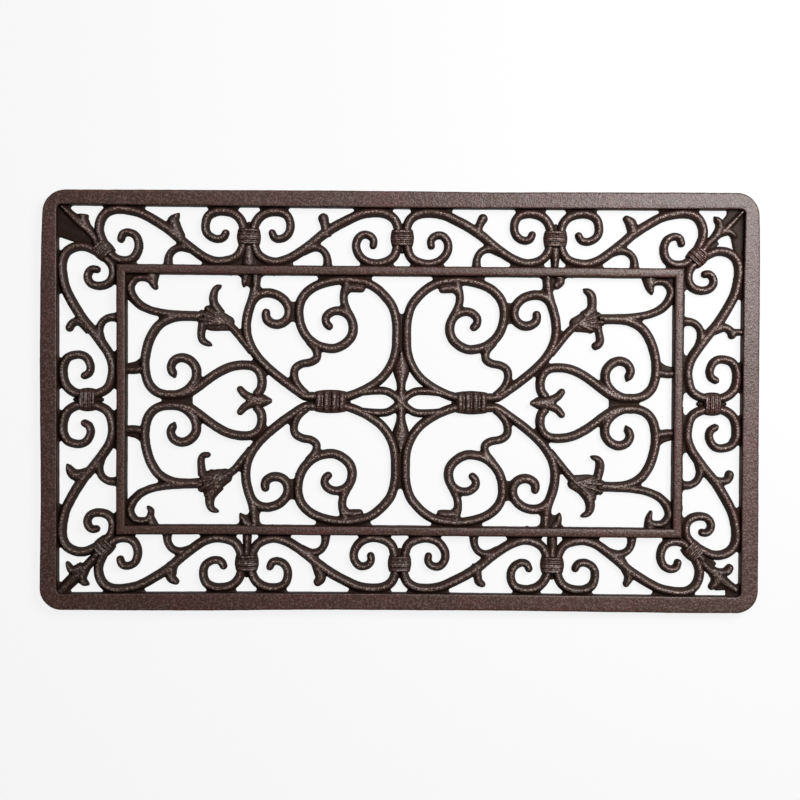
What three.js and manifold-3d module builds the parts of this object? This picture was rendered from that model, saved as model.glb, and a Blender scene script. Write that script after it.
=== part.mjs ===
// Cast iron door mat: a flat rim round a border of scrolls, and an inner frame round a panel of rings,
// hearts and bell flowers. Lengths are in millimetres. +Z is up, the mat lies on z = 0 and is centred
// on the origin, with its long side along X. Each element of the pattern is a solid of its own.

import * as THREE from 'three';
import { mergeVertices } from 'three/addons/utils/BufferGeometryUtils.js';
import Module from 'manifold-3d';

const wasm = await Module();
wasm.setup();

// The rails: outer rim and inner frame
const matLength = 720;
const matWidth = 420;
const rimWidth = 17.5;
const rimHeight = 12;
const rimCornerRadius = 22;
const borderWidth = 57.5;
const frameBarWidth = 10;
const frameBarHeight = 11.5;

// The bars of the ornament, which have a ridged top and a flat underside
const scrollWidth = 9.2;
const scrollHeight = 9.5;
const sprigWidth = 8;
const sprigHeight = 8.5;
const archWidth = 6;
const webWidth = 6;
const webHeight = 5;
const armWidth = 6.5;
const linkWidth = 7.5;

// The collars, which wrap the bars that pass through them
const collarWidth = 22.5;
const collarLength = 16.5;
const collarHeight = 11.8;
const footWidth = 8.5;
const axisCollarLength = 32;
const collarRibPitch = 5.4;
const valleyShare = 0.9;

// The leaves and flowers
const petalWidth = 7.5;
const petalHeight = 8;
const spikeWidth = 12.5;
const spikeHeight = 9;
const bellHeight = 10.5;
const leafWidth = 17;
const leafHeight = 9.5;
const crossSpikeWidth = 18;

// The gap between neighbouring solids, and how closely a bend is followed
const gap = 0.3;
const walkLength = 0.5;
const longestSpan = 22;
const sharpestTurn = THREE.MathUtils.degToRad(37);
const cornerSpans = 5;
const toolReach = 2 * matLength;

// Where the rails leave off, and where the collars of a long side stand
const sideCollarPlaceShare = 0.4467;
const rimInnerX = matLength / 2 - rimWidth;
const rimInnerY = matWidth / 2 - rimWidth;
const frameOuterX = rimInnerX - borderWidth;
const frameOuterY = rimInnerY - borderWidth;
const sideCollarX = rimInnerX * sideCollarPlaceShare;
const panelX = frameOuterX - frameBarWidth;
const panelY = frameOuterY - frameBarWidth;

// Profiles, as shares of a bar's width across and of its height up, counterclockwise
const gableShares = [[-0.5, 0], [0.5, 0], [0.5, 0.42], [0, 1], [-0.5, 0.42]];
const railShares = [[-0.5, 0], [0.5, 0], [0.5, 0.93], [0.455, 1], [-0.455, 1], [-0.5, 0.93]];
const frameShares = [[-0.5, 0], [0.5, 0], [0.48, 0.7], [0.41, 1], [-0.41, 1], [-0.48, 0.7]];
const collarShares = [[-0.5, 0], [0.5, 0], [0.5, 0.65], [0.32, 1], [-0.32, 1], [-0.5, 0.65]];
const roundEndShares = [[0.3, 0.8], [0.46, 0.35]];

// The ornament is drawn on squared paper. A point is written in squares, along first and across
// second, and the paper's size in squares turns it into a share of the real border or panel.
const cornerPaperShares = [191.5, 57.5];
const cornerReachShare = 62;
const middlePaperShares = [152.5, 57.5];
const panelPaperShares = [276, 124.5];

// Border scroll from a corner to a collar: along from the rim's inner corner, across from the rim
const cornerScrollShares = {
  body: [
    [62.5, 37], [61, 32], [64, 27.5], [70, 26], [77, 29.5], [80, 37.5], [78.5, 46], [73.5, 52],
    [65.5, 54], [56.5, 52], [49.5, 44.5], [44, 35.5], [40.5, 27], [40.5, 18], [44, 10], [50, 5],
    [59, 3], [70.5, 4], [82.5, 7], [96.5, 14.2], [111.5, 23.7], [123.5, 33.8], [135.5, 43],
    [147, 50.5], [158.5, 54], [170, 53], [179.5, 49], [185, 40], [186.5, 29], [185.5, 18],
    [181.5, 10.5], [175.5, 6], [167, 4], [158, 4.5], [150.5, 8.5], [147.5, 15.5], [147.5, 23],
    [151, 29.5], [158.5, 33], [165.5, 31.5], [168.5, 26.5],
  ],
  longSideSprig: [[125, 35], [117, 25], [112.8, 15.5], [116.2, 7.5]],
  shortSideSprig: [[127, 36], [120, 24.5], [115.5, 15], [119.5, 8.5]],
  arch: [[133, 41], [123, 39.5], [114, 42.5], [109.5, 49.5], [109, 59]],
};

// Border scroll between two collars: along from the outer collar, across from the rim
const middleScrollShares = {
  body: [
    [23, 25], [25.5, 30], [31, 31], [37, 28], [40.5, 22.5], [40.8, 14.5], [37.5, 7.5], [31, 4.5],
    [23, 4], [14.5, 6.5], [8.3, 12], [4.8, 20], [4.5, 29], [5.8, 39.5], [10.3, 47.5], [18.5, 52.5],
    [28.5, 54], [40, 50.5], [50, 44.8], [62, 36], [72, 27.5], [85, 18.6], [99, 11.2], [111, 5.8],
    [123, 3.8], [134.5, 4.5], [143.7, 9.3], [148, 18], [148.2, 29], [147.3, 39], [144, 48],
    [136, 53.3], [125, 55], [114.5, 51.5], [107.7, 43], [107, 33.5], [112.5, 26.5], [120, 27],
    [124, 31.5], [123.5, 37],
  ],
  sprig: [[64, 36], [71, 28], [75.2, 19], [71, 8.5]],
  arch: [[54, 42], [65, 38.5], [74, 41.2], [78.5, 48.5], [79.3, 59]],
};

// Fleuron in each corner of the border, both measured from the rim's inner corner
const fleuronShares = {
  stem: [[45.3, 45.3], [31, 30], [22, 22]],
  spike: [[25, 25], [15, 15], [8, 8], [2, 2]],
  petal: [[26, 27], [18.5, 21.5], [12.5, 23.3], [9, 29.5]],
};

// The centre panel, from the mat's middle outwards, for one quarter
const ringScrollShares = {
  body: [
    [70.9, 4.5], [55, 5], [40, 10.3], [29.5, 16], [18.7, 24.5], [10.5, 36], [5.8, 50], [4.9, 66], [5.4, 80], [9, 94],
    [16, 104], [26, 113], [38, 118.5], [57, 120.8], [73, 119.3], [88.5, 114], [98.7, 105],
    [103.3, 94], [103.3, 82], [100.3, 71.5], [94.3, 62.5], [85, 56], [75, 53], [66, 53], [57.5, 57],
    [51, 63.5], [48.5, 71.5], [50, 80.5], [55, 87], [62.5, 90], [70, 89], [75.7, 84],
    [75.7, 78], [72.5, 74.5],
  ],
  zigzag: [
    [93, 60], [86, 51.5], [84.8, 43.5], [90.5, 39], [100, 37], [106.5, 32.5], [107.7, 25],
    [105, 17], [99.5, 10.5], [95, 7],
  ],
  tendril: [[55.5, 117], [58, 108], [58, 99], [55, 91], [51, 84]],
  bud: [[58.5, 109], [54, 113.7], [48.5, 113.6], [42.5, 110.5]],
};
const heartScrollShares = {
  body: [
    [146.5, 127], [147.5, 112], [150, 101], [153.5, 90.5], [155.8, 79], [155.5, 67.5], [152, 55.5],
    [144.5, 43.5], [134.5, 33.2], [122, 22.8], [108.5, 13], [97, 5.5], [88, 4.8], [70.9, 4.5],
  ],
  curl: [
    [151, 98], [144, 105], [134, 107.3], [123.5, 104.5], [116, 98], [113, 90], [114.5, 82.5],
    [120.5, 77.3], [128, 76.5], [134.5, 80], [136.5, 85.5], [135, 90],
  ],
  leaf: [[148, 123], [156, 121.5], [163, 115.5]],
  web: [[109, 101], [107.3, 90], [108, 80]],
};
const cScrollShares = {
  tendril: [
    [199, 84.5], [222, 85], [238, 86.3], [253, 89.8], [264, 96.3], [270.5, 105.3], [271.7, 113],
    [266, 120.3], [257, 121], [250, 117.5], [249, 111],
  ],
  body: [
    [214, 83.5], [229, 82], [241.5, 76], [249, 67], [254, 56], [257.3, 41], [257, 27], [253.3, 15.5],
    [245.5, 8], [235, 5.2], [223.5, 6], [214, 11], [207, 20], [206, 31], [211.5, 39], [220, 42.3],
    [228, 39.5], [231.5, 32.5], [229, 26],
  ],
  arm: [
    [233, 5.4], [222, 5.4], [212.5, 8], [203.5, 13.8], [194, 21], [183, 28.3], [172, 33.3], [161, 35.3],
    [150, 34.5], [143, 29.5], [140, 21], [141, 12], [146, 5.5],
  ],
  link: [[277, 29], [268, 28.5], [256, 31]],
};
const bellFlowerShares = {
  mouthTop: [204, 84],
  upperEdge: [[200, 98], [191, 99], [181, 94.5], [172, 83]],
  lowerEdge: [[202, 70], [192, 70.5], [182, 71], [172, 75]],
  upperPetal: [[193, 95], [193.5, 105], [190, 111.5], [183.5, 113.5]],
  lowerPetal: [[200.5, 73], [202.5, 63], [199.5, 56], [192, 55]],
  stem: [[178, 80], [167, 69.5], [157.8, 58.3], [150, 48.5]],
};
const trefoilShares = {
  leaf: [[154, 0], [147, 0], [139, 0], [130, 0]],
  lobe: [[150, 3], [157, 6], [162, 11.5]],
};
const centreCrossShares = {
  arm: [[35, 9], [27, 10.8], [16, 10.8], [8, 7.3], [0, 0], [-8, -7.3], [-16, -10.8], [-27, -10.8], [-35, -9]],
  spike: [[0, 51], [0, 40], [0, 30], [0, 21], [0, 0], [0, -21], [0, -30], [0, -40], [0, -51]],
};
const collarPlaceShare = 0.51;
const cornerCollarShares = fleuronShares.stem[0];
const axisCollarPlaceShare = 0.257;

// How wide a bar is along its way, in shares of its own width
const evenShares = [1];
const curlShares = [0.72, 0.9, 1, 1, 1, 1, 1, 1, 1, 1, 0.9, 0.72];
const oneCurlShares = [1, 1, 1, 1, 1, 1, 1, 1.05, 0.75];
const branchShares = [1, 0.95, 0.8];
const spikeShares = [1, 1, 0.85, 0.7];
const pointShares = [1, 0.75, 0.25];
const leafShares = [0.55, 1, 0.75, 0.12];
const crossSpikeShares = [0.05, 0.42, 1, 0.5, 0.5, 0.5, 1, 0.42, 0.05];
const crossArmShares = [0.6, 1, 1, 1, 1, 1, 1, 1, 0.6];

// The flutes of a bell flower: rows across its mouth and rows from neck to mouth
const fluteRows = 8;
const bellRows = 3;
const fluteDepthShare = 0.14;
const bellRimShare = 0.5;

const quarters = [
  { name: 'top_left', sideX: -1, sideY: 1 },
  { name: 'top_right', sideX: 1, sideY: 1 },
  { name: 'bottom_left', sideX: -1, sideY: -1 },
  { name: 'bottom_right', sideX: 1, sideY: -1 },
];

// Where a paper point lies on the mat

// The squares near a corner keep the border's own scale, and the others stretch to the side's length
function alongSide(x, length) {
  const scale = borderWidth / cornerPaperShares[1];
  const corner = scale * cornerReachShare;
  const rest = (length - corner) / (cornerPaperShares[0] - cornerReachShare);
  return x < cornerReachShare ? scale * x : corner + rest * (x - cornerReachShare);
}

function onLongSide({ sideX, sideY }) {
  return ([x, y]) => new THREE.Vector3(
    sideX * (rimInnerX - alongSide(x, rimInnerX - sideCollarX)),
    sideY * (rimInnerY - borderWidth * y / cornerPaperShares[1]),
    0,
  );
}

function onShortSide({ sideX, sideY }) {
  return ([x, y]) => new THREE.Vector3(
    sideX * (rimInnerX - borderWidth * y / cornerPaperShares[1]),
    sideY * (rimInnerY - alongSide(x, rimInnerY)),
    0,
  );
}

function atCorner({ sideX, sideY }) {
  return ([x, y]) => new THREE.Vector3(
    sideX * (rimInnerX - borderWidth * x / cornerPaperShares[1]),
    sideY * (rimInnerY - borderWidth * y / cornerPaperShares[1]),
    0,
  );
}

function betweenCollars({ sideX, sideY }) {
  return ([x, y]) => new THREE.Vector3(
    sideX * sideCollarX * (1 - x / middlePaperShares[0]),
    sideY * (rimInnerY - borderWidth * y / middlePaperShares[1]),
    0,
  );
}

function inPanel({ sideX, sideY }) {
  return ([x, y]) => new THREE.Vector3(
    sideX * panelX * x / panelPaperShares[0],
    sideY * panelY * y / panelPaperShares[1],
    0,
  );
}

// Turns rows of corners and faces into a closed solid, facing out
function solidFrom(positions, faces) {
  const geometry = new THREE.BufferGeometry();
  geometry.setAttribute('position', new THREE.Float32BufferAttribute(positions, 3));
  geometry.setIndex(Array.from(faces));
  const merged = mergeVertices(geometry);
  const mesh = { numProp: 3, vertProperties: merged.attributes.position.array, triVerts: merged.index.array };
  return new wasm.Manifold(new wasm.Mesh(mesh));
}

// A value read from a list of shares spread evenly from one end of a bar to the other
function spreadShare(shares, at) {
  const place = at * (shares.length - 1);
  const before = Math.min(Math.floor(place), Math.max(shares.length - 2, 0));
  const after = Math.min(before + 1, shares.length - 1);
  return THREE.MathUtils.lerp(shares[before], shares[after], place - before);
}

function stationAt(point, tangent, width, height) {
  return { x: point.x, y: point.y, acrossX: -tangent.y, acrossY: tangent.x, width, height };
}

// Stations along a smooth way through the points, closer together where it bends
function stationsAlong(points, bar, grown) {
  const curve = new THREE.CatmullRomCurve3(points, false, 'centripetal');
  const walkCount = Math.ceil(curve.getLength() / walkLength);
  curve.arcLengthDivisions = walkCount;
  curve.updateArcLengths();
  const length = curve.getLength();
  const stations = [];
  let lastAt = 0;
  let lastTangent = curve.getTangentAt(0);
  for (let walk = 0; walk <= walkCount; walk += 1) {
    const at = walk / walkCount;
    const tangent = curve.getTangentAt(at);
    const turned = Math.abs(lastTangent.angleTo(tangent));
    const ran = (at - lastAt) * length;
    if (walk === 0 || walk === walkCount || turned > sharpestTurn || ran > longestSpan) {
      const width = bar.width * spreadShare(bar.widthShares, at) + 2 * grown;
      stations.push(stationAt(curve.getPointAt(at), tangent, width, bar.height + grown));
      lastAt = at;
      lastTangent = tangent;
    }
  }
  return stations;
}

// Carries a bar's last station on past its end, narrowing to a blunt round tip
function roundEnd(station, direction) {
  return roundEndShares.map(([out, narrow]) => ({
    ...station,
    x: station.x + direction * station.acrossY * station.width * out,
    y: station.y - direction * station.acrossX * station.width * out,
    width: station.width * narrow,
    height: station.height * (1 + narrow) / 2,
  }));
}

// Skins a profile over a row of stations, as an open bar with flat ends or as a closed ring.
// A solid grown by a clearance also reaches that far below the floor, so that it cuts clean.
function skin(stations, profileShares, { closed = false, grown = 0 } = {}) {
  const positions = [];
  for (const station of stations) {
    for (const [across, up] of profileShares) {
      positions.push(
        station.x + station.acrossX * station.width * across,
        station.y + station.acrossY * station.width * across,
        up === 0 ? -grown : station.height * up,
      );
    }
  }
  const sides = profileShares.length;
  const spans = closed ? stations.length : stations.length - 1;
  const faces = [];
  for (let span = 0; span < spans; span += 1) {
    const here = span * sides;
    const next = ((span + 1) % stations.length) * sides;
    for (let side = 0; side < sides; side += 1) {
      const after = (side + 1) % sides;
      faces.push(here + side, here + after, next + after);
      faces.push(here + side, next + after, next + side);
    }
  }
  if (!closed) {
    const last = (stations.length - 1) * sides;
    for (let side = 1; side < sides - 1; side += 1) {
      faces.push(0, side + 1, side);
      faces.push(last, last + side, last + side + 1);
    }
  }
  return solidFrom(positions, faces);
}

// One bar of the ornament: a ridged bar through paper points, with round or flat ends
function makeBar(bar, place, grown = 0) {
  const stations = stationsAlong(bar.points.map(place), bar, grown);
  const first = stations[0];
  const last = stations[stations.length - 1];
  const before = bar.roundStart ? roundEnd(first, -1).reverse() : [];
  const after = bar.roundFinish ? roundEnd(last, 1) : [];
  return skin([...before, ...stations, ...after], gableShares, { grown });
}

function joined(solids) {
  return solids.reduce((whole, solid) => whole.add(solid));
}

function cutBy(solid, cutters) {
  return cutters.reduce((rest, cutter) => rest.subtract(cutter), solid);
}

function makeBars(bars, place, grown = 0) {
  return joined(bars.map((bar) => makeBar(bar, place, grown)));
}

// Everything past a line on the plan, for trimming a piece at its neighbour
function beyond(x, y, directionX, directionY) {
  const outward = new THREE.Vector2(directionX, directionY).normalize();
  const geometry = new THREE.BoxGeometry(toolReach, toolReach, toolReach);
  geometry.deleteAttribute('normal');
  geometry.deleteAttribute('uv');
  geometry.rotateZ(outward.angle());
  geometry.translate(x + outward.x * toolReach / 2, y + outward.y * toolReach / 2, 0);
  return solidFrom(geometry.attributes.position.array, geometry.index.array);
}

// The rails

function roundedLoop(halfX, halfY, radius, spans, width, height) {
  const stations = [];
  for (let corner = 0; corner < 4; corner += 1) {
    const signX = corner === 0 || corner === 3 ? 1 : -1;
    const signY = corner < 2 ? 1 : -1;
    for (let span = 0; span <= spans; span += 1) {
      const angle = (corner + span / spans) * Math.PI / 2;
      stations.push({
        x: signX * (halfX - radius) + radius * Math.cos(angle),
        y: signY * (halfY - radius) + radius * Math.sin(angle),
        acrossX: -Math.cos(angle),
        acrossY: -Math.sin(angle),
        width,
        height,
      });
    }
  }
  return stations;
}

function squareLoop(halfX, halfY, width, height) {
  const corners = [[1, 1], [-1, 1], [-1, -1], [1, -1]];
  return corners.map(([signX, signY]) => ({
    x: signX * halfX, y: signY * halfY, acrossX: -signX, acrossY: -signY, width, height,
  }));
}

function makeRim(grown = 0) {
  const middleX = (matLength - rimWidth) / 2;
  const middleY = (matWidth - rimWidth) / 2;
  const radius = rimCornerRadius - rimWidth / 2;
  const stations = roundedLoop(
    middleX, middleY, radius, cornerSpans, rimWidth + 2 * grown, rimHeight + grown,
  );
  return skin(stations, railShares, { closed: true, grown });
}

function makeFrame(grown = 0) {
  const middleX = panelX + frameBarWidth / 2;
  const middleY = panelY + frameBarWidth / 2;
  const stations = squareLoop(middleX, middleY, frameBarWidth + 2 * grown, frameBarHeight + grown);
  return skin(stations, frameShares, { closed: true, grown });
}

// The lists of bars that make each kind of scroll

function curledBar(points, widthShares, ends = {}) {
  return { points, width: scrollWidth, height: scrollHeight, widthShares, ...ends };
}

function sprigBar(points, ends = { roundFinish: true }) {
  return { points, width: sprigWidth, height: sprigHeight, widthShares: branchShares, ...ends };
}

function borderBars(shares, sprig) {
  return [
    curledBar(shares.body, curlShares, { roundStart: true, roundFinish: true }),
    sprigBar(sprig),
    { points: shares.arch, width: archWidth, height: sprigHeight, widthShares: evenShares },
  ];
}

function ringBars() {
  return [
    curledBar(ringScrollShares.body, oneCurlShares, { roundFinish: true }),
    sprigBar(ringScrollShares.tendril),
    sprigBar(ringScrollShares.bud),
  ];
}

function heartBars() {
  return [
    curledBar(heartScrollShares.body, evenShares),
    curledBar(heartScrollShares.curl, oneCurlShares, { roundFinish: true }),
    { points: heartScrollShares.leaf, width: sprigWidth, height: sprigHeight, widthShares: pointShares },
  ];
}

function cScrollBars() {
  return [
    sprigBar(cScrollShares.tendril),
    curledBar(cScrollShares.body, oneCurlShares, { roundFinish: true }),
    curledBar(cScrollShares.arm, evenShares),
    { points: cScrollShares.link, width: linkWidth, height: sprigHeight, widthShares: evenShares },
  ];
}

function petalBar(points) {
  return { points, width: petalWidth, height: petalHeight, widthShares: branchShares, roundFinish: true };
}

function zigzagBars() {
  return [sprigBar(ringScrollShares.zigzag, {})];
}

function webBars() {
  return [{ points: heartScrollShares.web, width: webWidth, height: webHeight, widthShares: evenShares }];
}

function flowerBars() {
  return [
    petalBar(bellFlowerShares.upperPetal),
    petalBar(bellFlowerShares.lowerPetal),
    { points: bellFlowerShares.stem, width: sprigWidth, height: sprigHeight, widthShares: evenShares },
  ];
}

function fleuronBars() {
  const mirrored = fleuronShares.petal.map(([x, y]) => [y, x]);
  return [
    sprigBar(fleuronShares.stem, {}),
    { points: fleuronShares.spike, width: spikeWidth, height: spikeHeight, widthShares: spikeShares },
    petalBar(fleuronShares.petal),
    petalBar(mirrored),
  ];
}

function trefoilBars() {
  return [
    { points: trefoilShares.leaf, width: leafWidth, height: leafHeight, widthShares: leafShares },
    petalBar(trefoilShares.lobe),
  ];
}

function centreCrossBars() {
  const { arm, spike } = centreCrossShares;
  const otherArm = arm.map(([x, y]) => [x, -y]);
  return [
    { points: arm, width: armWidth, height: scrollHeight, widthShares: crossArmShares },
    { points: otherArm, width: armWidth, height: scrollHeight, widthShares: crossArmShares },
    { points: spike, width: crossSpikeWidth, height: scrollHeight, widthShares: crossSpikeShares },
  ];
}

// A bell flower's body: a domed fan from its neck to its mouth, with flutes along it
function makeBell(place, grown = 0) {
  const upperEdge = new THREE.CatmullRomCurve3(bellFlowerShares.upperEdge.map(place));
  const lowerEdge = new THREE.CatmullRomCurve3(bellFlowerShares.lowerEdge.map(place));
  const mouthMiddle = upperEdge.getPoint(0).lerp(lowerEdge.getPoint(0), 0.5);
  const bulge = place(bellFlowerShares.mouthTop).sub(mouthMiddle);
  const rows = [];
  for (let row = 0; row <= bellRows; row += 1) {
    const inward = row / bellRows;
    const upper = upperEdge.getPoint(inward);
    const lower = lowerEdge.getPoint(inward);
    const spread = upper.distanceTo(lower);
    const stretch = (spread + 2 * grown) / spread;
    const line = [];
    for (let flute = 0; flute <= fluteRows; flute += 1) {
      const side = 2 * flute / fluteRows - 1;
      const arch = Math.sqrt(1 - side * side);
      const groove = flute % 2 === 1 ? fluteDepthShare : 0;
      const rise = bellRimShare + (1 - bellRimShare) * arch - groove;
      const point = upper.clone().lerp(lower, (1 + side * stretch) / 2);
      point.addScaledVector(bulge, (1 - inward) * arch);
      line.push([point.x, point.y, bellHeight * rise + grown]);
    }
    rows.push(line);
  }
  return slabUnder(rows, grown);
}

// Closes a grid of top points with walls and a flat underside
function slabUnder(rows, grown) {
  const columns = rows[0].length;
  const last = rows.length - 1;
  const top = rows.flat();
  const under = top.map(([x, y]) => [x, y, -grown]);
  const flip = turnsLeft(rows) ? [0, 1, 2] : [0, 2, 1];
  const faces = [];
  const addFace = (...corners) => faces.push(...flip.map((corner) => corners[corner]));
  const addQuad = (a, b, c, d) => {
    addFace(a, b, c);
    addFace(a, c, d);
  };
  for (let row = 0; row < last; row += 1) {
    for (let column = 0; column < columns - 1; column += 1) {
      const a = row * columns + column;
      addQuad(a, a + columns, a + columns + 1, a + 1);
      addQuad(top.length + a, top.length + a + 1, top.length + a + columns + 1, top.length + a + columns);
    }
    const a = row * columns;
    const b = a + columns - 1;
    addQuad(a, top.length + a, top.length + a + columns, a + columns);
    addQuad(b, b + columns, top.length + b + columns, top.length + b);
  }
  for (let column = 0; column < columns - 1; column += 1) {
    const a = column;
    const b = last * columns + column;
    addQuad(a, a + 1, top.length + a + 1, top.length + a);
    addQuad(b, top.length + b, top.length + b + 1, b + 1);
  }
  return solidFrom([...top, ...under].flat(), faces);
}

function turnsLeft(rows) {
  const [fromX, fromY] = rows[0][0];
  const [nextX, nextY] = rows[1][0];
  const [sideX, sideY] = rows[0][1];
  return (nextX - fromX) * (sideY - fromY) > (nextY - fromY) * (sideX - fromX);
}

// A ribbed collar, standing over the bars that run through it in the direction given
function makeCollar(x, y, angle, length, grown = 0) {
  const tangent = new THREE.Vector2(Math.cos(angle), Math.sin(angle));
  const ribs = Math.max(Math.round(length / collarRibPitch), 2);
  const stations = [];
  for (let step = 0; step <= 2 * ribs; step += 1) {
    const run = (step / (2 * ribs) - 0.5) * (length + 2 * grown);
    const swell = grown > 0 || step % 2 === 1 ? 1 : valleyShare;
    const point = new THREE.Vector2(x + run * tangent.x, y + run * tangent.y);
    const width = collarWidth * swell + 2 * grown;
    stations.push(stationAt(point, tangent, width, collarHeight * swell + grown));
  }
  return skin(stations, collarShares, { grown });
}

// Materials: bare cast iron, a little darker in the ornament than on the rubbed rails

function railIron() {
  return new THREE.MeshStandardMaterial({ color: 0x5b4744, roughness: 0.5, metalness: 0.7 });
}

function ornamentIron() {
  return new THREE.MeshStandardMaterial({ color: 0x3f302c, roughness: 0.55, metalness: 0.7 });
}

const mat = new THREE.Group();

function addPiece(name, solid, material) {
  const { numProp, vertProperties, triVerts } = solid.getMesh();
  const geometry = new THREE.BufferGeometry();
  geometry.setAttribute('position', new THREE.Float32BufferAttribute(vertProperties, numProp));
  geometry.setIndex(new THREE.BufferAttribute(triVerts, 1));
  geometry.computeVertexNormals();
  const mesh = new THREE.Mesh(geometry, material);
  mesh.name = name;
  mat.add(mesh);
}

const railTools = [makeRim(gap), makeFrame(gap)];

addPiece('outer_rim', makeRim(), railIron());
addPiece('inner_frame', makeFrame(), railIron());

// The border scrolls: three in each quarter, trimmed at the rails and at each other

const longSideBars = borderBars(cornerScrollShares, cornerScrollShares.longSideSprig);
const shortSideBars = borderBars(cornerScrollShares, cornerScrollShares.shortSideSprig);
const middleBars = borderBars(middleScrollShares, middleScrollShares.sprig);
const borderTools = [];

for (const quarter of quarters) {
  const { name, sideX, sideY } = quarter;
  const half = gap / 2;
  const cornerX = sideX * rimInnerX;
  const cornerY = sideY * rimInnerY;

  const longTools = [
    ...railTools,
    beyond(sideX * (sideCollarX + half), 0, -sideX, 0),
    beyond(cornerX - sideX * gap, cornerY, sideX, -sideY),
  ];
  const longScroll = cutBy(makeBars(longSideBars, onLongSide(quarter)), longTools);
  addPiece(`long_side_scroll_${name}`, longScroll, ornamentIron());

  const shortTools = [
    ...railTools,
    beyond(0, sideY * half, 0, -sideY),
    beyond(cornerX, cornerY - sideY * gap, -sideX, sideY),
  ];
  const shortScroll = cutBy(makeBars(shortSideBars, onShortSide(quarter)), shortTools);
  addPiece(`short_side_scroll_${name}`, shortScroll, ornamentIron());

  const middleTools = [
    ...railTools,
    beyond(sideX * (sideCollarX - half), 0, sideX, 0),
    beyond(sideX * half, 0, -sideX, 0),
  ];
  const middleScroll = cutBy(makeBars(middleBars, betweenCollars(quarter)), middleTools);
  addPiece(`middle_scroll_${name}`, middleScroll, ornamentIron());

  borderTools.push(
    makeBars(longSideBars, onLongSide(quarter), gap),
    makeBars(shortSideBars, onShortSide(quarter), gap),
    makeBars(middleBars, betweenCollars(quarter), gap),
  );
}

// The border collars. Those on a long side away from its middle stand on a foot at the inner frame.

const scrollTool = joined(borderTools);
const collarAcross = borderWidth * collarPlaceShare;
const quarterTurn = Math.PI / 2;

function addCollar(name, x, y, angle, extra = []) {
  const whole = joined([makeCollar(x, y, angle, collarLength), ...extra]);
  addPiece(name, cutBy(whole, [...railTools, scrollTool]), ornamentIron());
}

for (const side of [1, -1]) {
  const word = side > 0 ? 'top' : 'bottom';
  addCollar(`middle_collar_${word}`, 0, side * (rimInnerY - collarAcross), quarterTurn);
  const end = side > 0 ? 'right' : 'left';
  addCollar(`end_collar_${end}`, side * (rimInnerX - collarAcross), 0, 0);
}

for (const quarter of quarters) {
  const { name, sideX, sideY } = quarter;
  const x = sideX * sideCollarX;
  const y = sideY * (rimInnerY - collarAcross);
  const foot = {
    points: [[x, y], [x, sideY * frameOuterY]],
    width: footWidth,
    height: sprigHeight,
    widthShares: evenShares,
  };
  const asPlaced = ([pointX, pointY]) => new THREE.Vector3(pointX, pointY, 0);
  addCollar(`side_collar_${name}`, x, y, quarterTurn, [makeBar(foot, asPlaced)]);
}

for (const quarter of quarters) {
  const { name, sideX, sideY } = quarter;
  const place = atCorner(quarter);
  const { x, y } = place(cornerCollarShares);
  const angle = Math.atan2(sideY, sideX);
  addCollar(`corner_collar_${name}`, x, y, angle);
  const fleuron = cutBy(makeBars(fleuronBars(), place), [
    ...railTools,
    scrollTool,
    makeCollar(x, y, angle, collarLength, gap),
  ]);
  addPiece(`corner_fleuron_${name}`, fleuron, ornamentIron());
}

// The centre panel: what meets on the mat's middle lines first, then the scrolls of each quarter

const axisCollarX = panelX * axisCollarPlaceShare;
const axisTools = [];

for (const side of [1, -1]) {
  const word = side > 0 ? 'right' : 'left';
  const place = inPanel({ sideX: side, sideY: 1 });
  const below = inPanel({ sideX: side, sideY: -1 });
  const collarTool = makeCollar(side * axisCollarX, 0, 0, axisCollarLength, gap);
  const trefoilTool = joined([makeBars(trefoilBars(), place, gap), makeBars(trefoilBars(), below, gap)]);
  const trefoil = joined([makeBars(trefoilBars(), place), makeBars(trefoilBars(), below)]);
  addPiece(`axis_collar_${word}`, makeCollar(side * axisCollarX, 0, 0, axisCollarLength), ornamentIron());
  addPiece(`trefoil_${word}`, trefoil, ornamentIron());
  axisTools.push(collarTool, trefoilTool);
}

const ringTools = [];

for (const quarter of quarters) {
  const { name, sideX, sideY } = quarter;
  const place = inPanel(quarter);
  const half = gap / 2;
  const sharedTools = [
    ...railTools,
    ...axisTools,
    beyond(0, sideY * half, 0, -sideY),
    beyond(sideX * half, 0, -sideX, 0),
  ];
  const ringTool = makeBars(ringBars(), place, gap);
  const heartTool = makeBars(heartBars(), place, gap);
  const flowerTool = joined([makeBell(place, gap), makeBars(flowerBars(), place, gap)]);
  ringTools.push(ringTool);

  const zigzag = makeBars(zigzagBars(), place).subtract(heartTool);
  const ring = cutBy(makeBars(ringBars(), place).add(zigzag), sharedTools);
  addPiece(`ring_scroll_${name}`, ring, ornamentIron());

  const heart = cutBy(makeBars([...heartBars(), ...webBars()], place), [...sharedTools, ringTool]);
  addPiece(`heart_scroll_${name}`, heart, ornamentIron());

  const cScroll = cutBy(makeBars(cScrollBars(), place), [...sharedTools, heartTool, flowerTool]);
  addPiece(`c_scroll_${name}`, cScroll, ornamentIron());

  const flower = makeBell(place).add(makeBars(flowerBars(), place));
  addPiece(`bell_flower_${name}`, cutBy(flower, [...railTools, heartTool]), ornamentIron());
}

const fromMiddle = inPanel({ sideX: 1, sideY: 1 });
const centreCross = cutBy(makeBars(centreCrossBars(), fromMiddle), ringTools);
addPiece('centre_cross', centreCross, ornamentIron());

export default mat;
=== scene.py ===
import math

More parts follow.
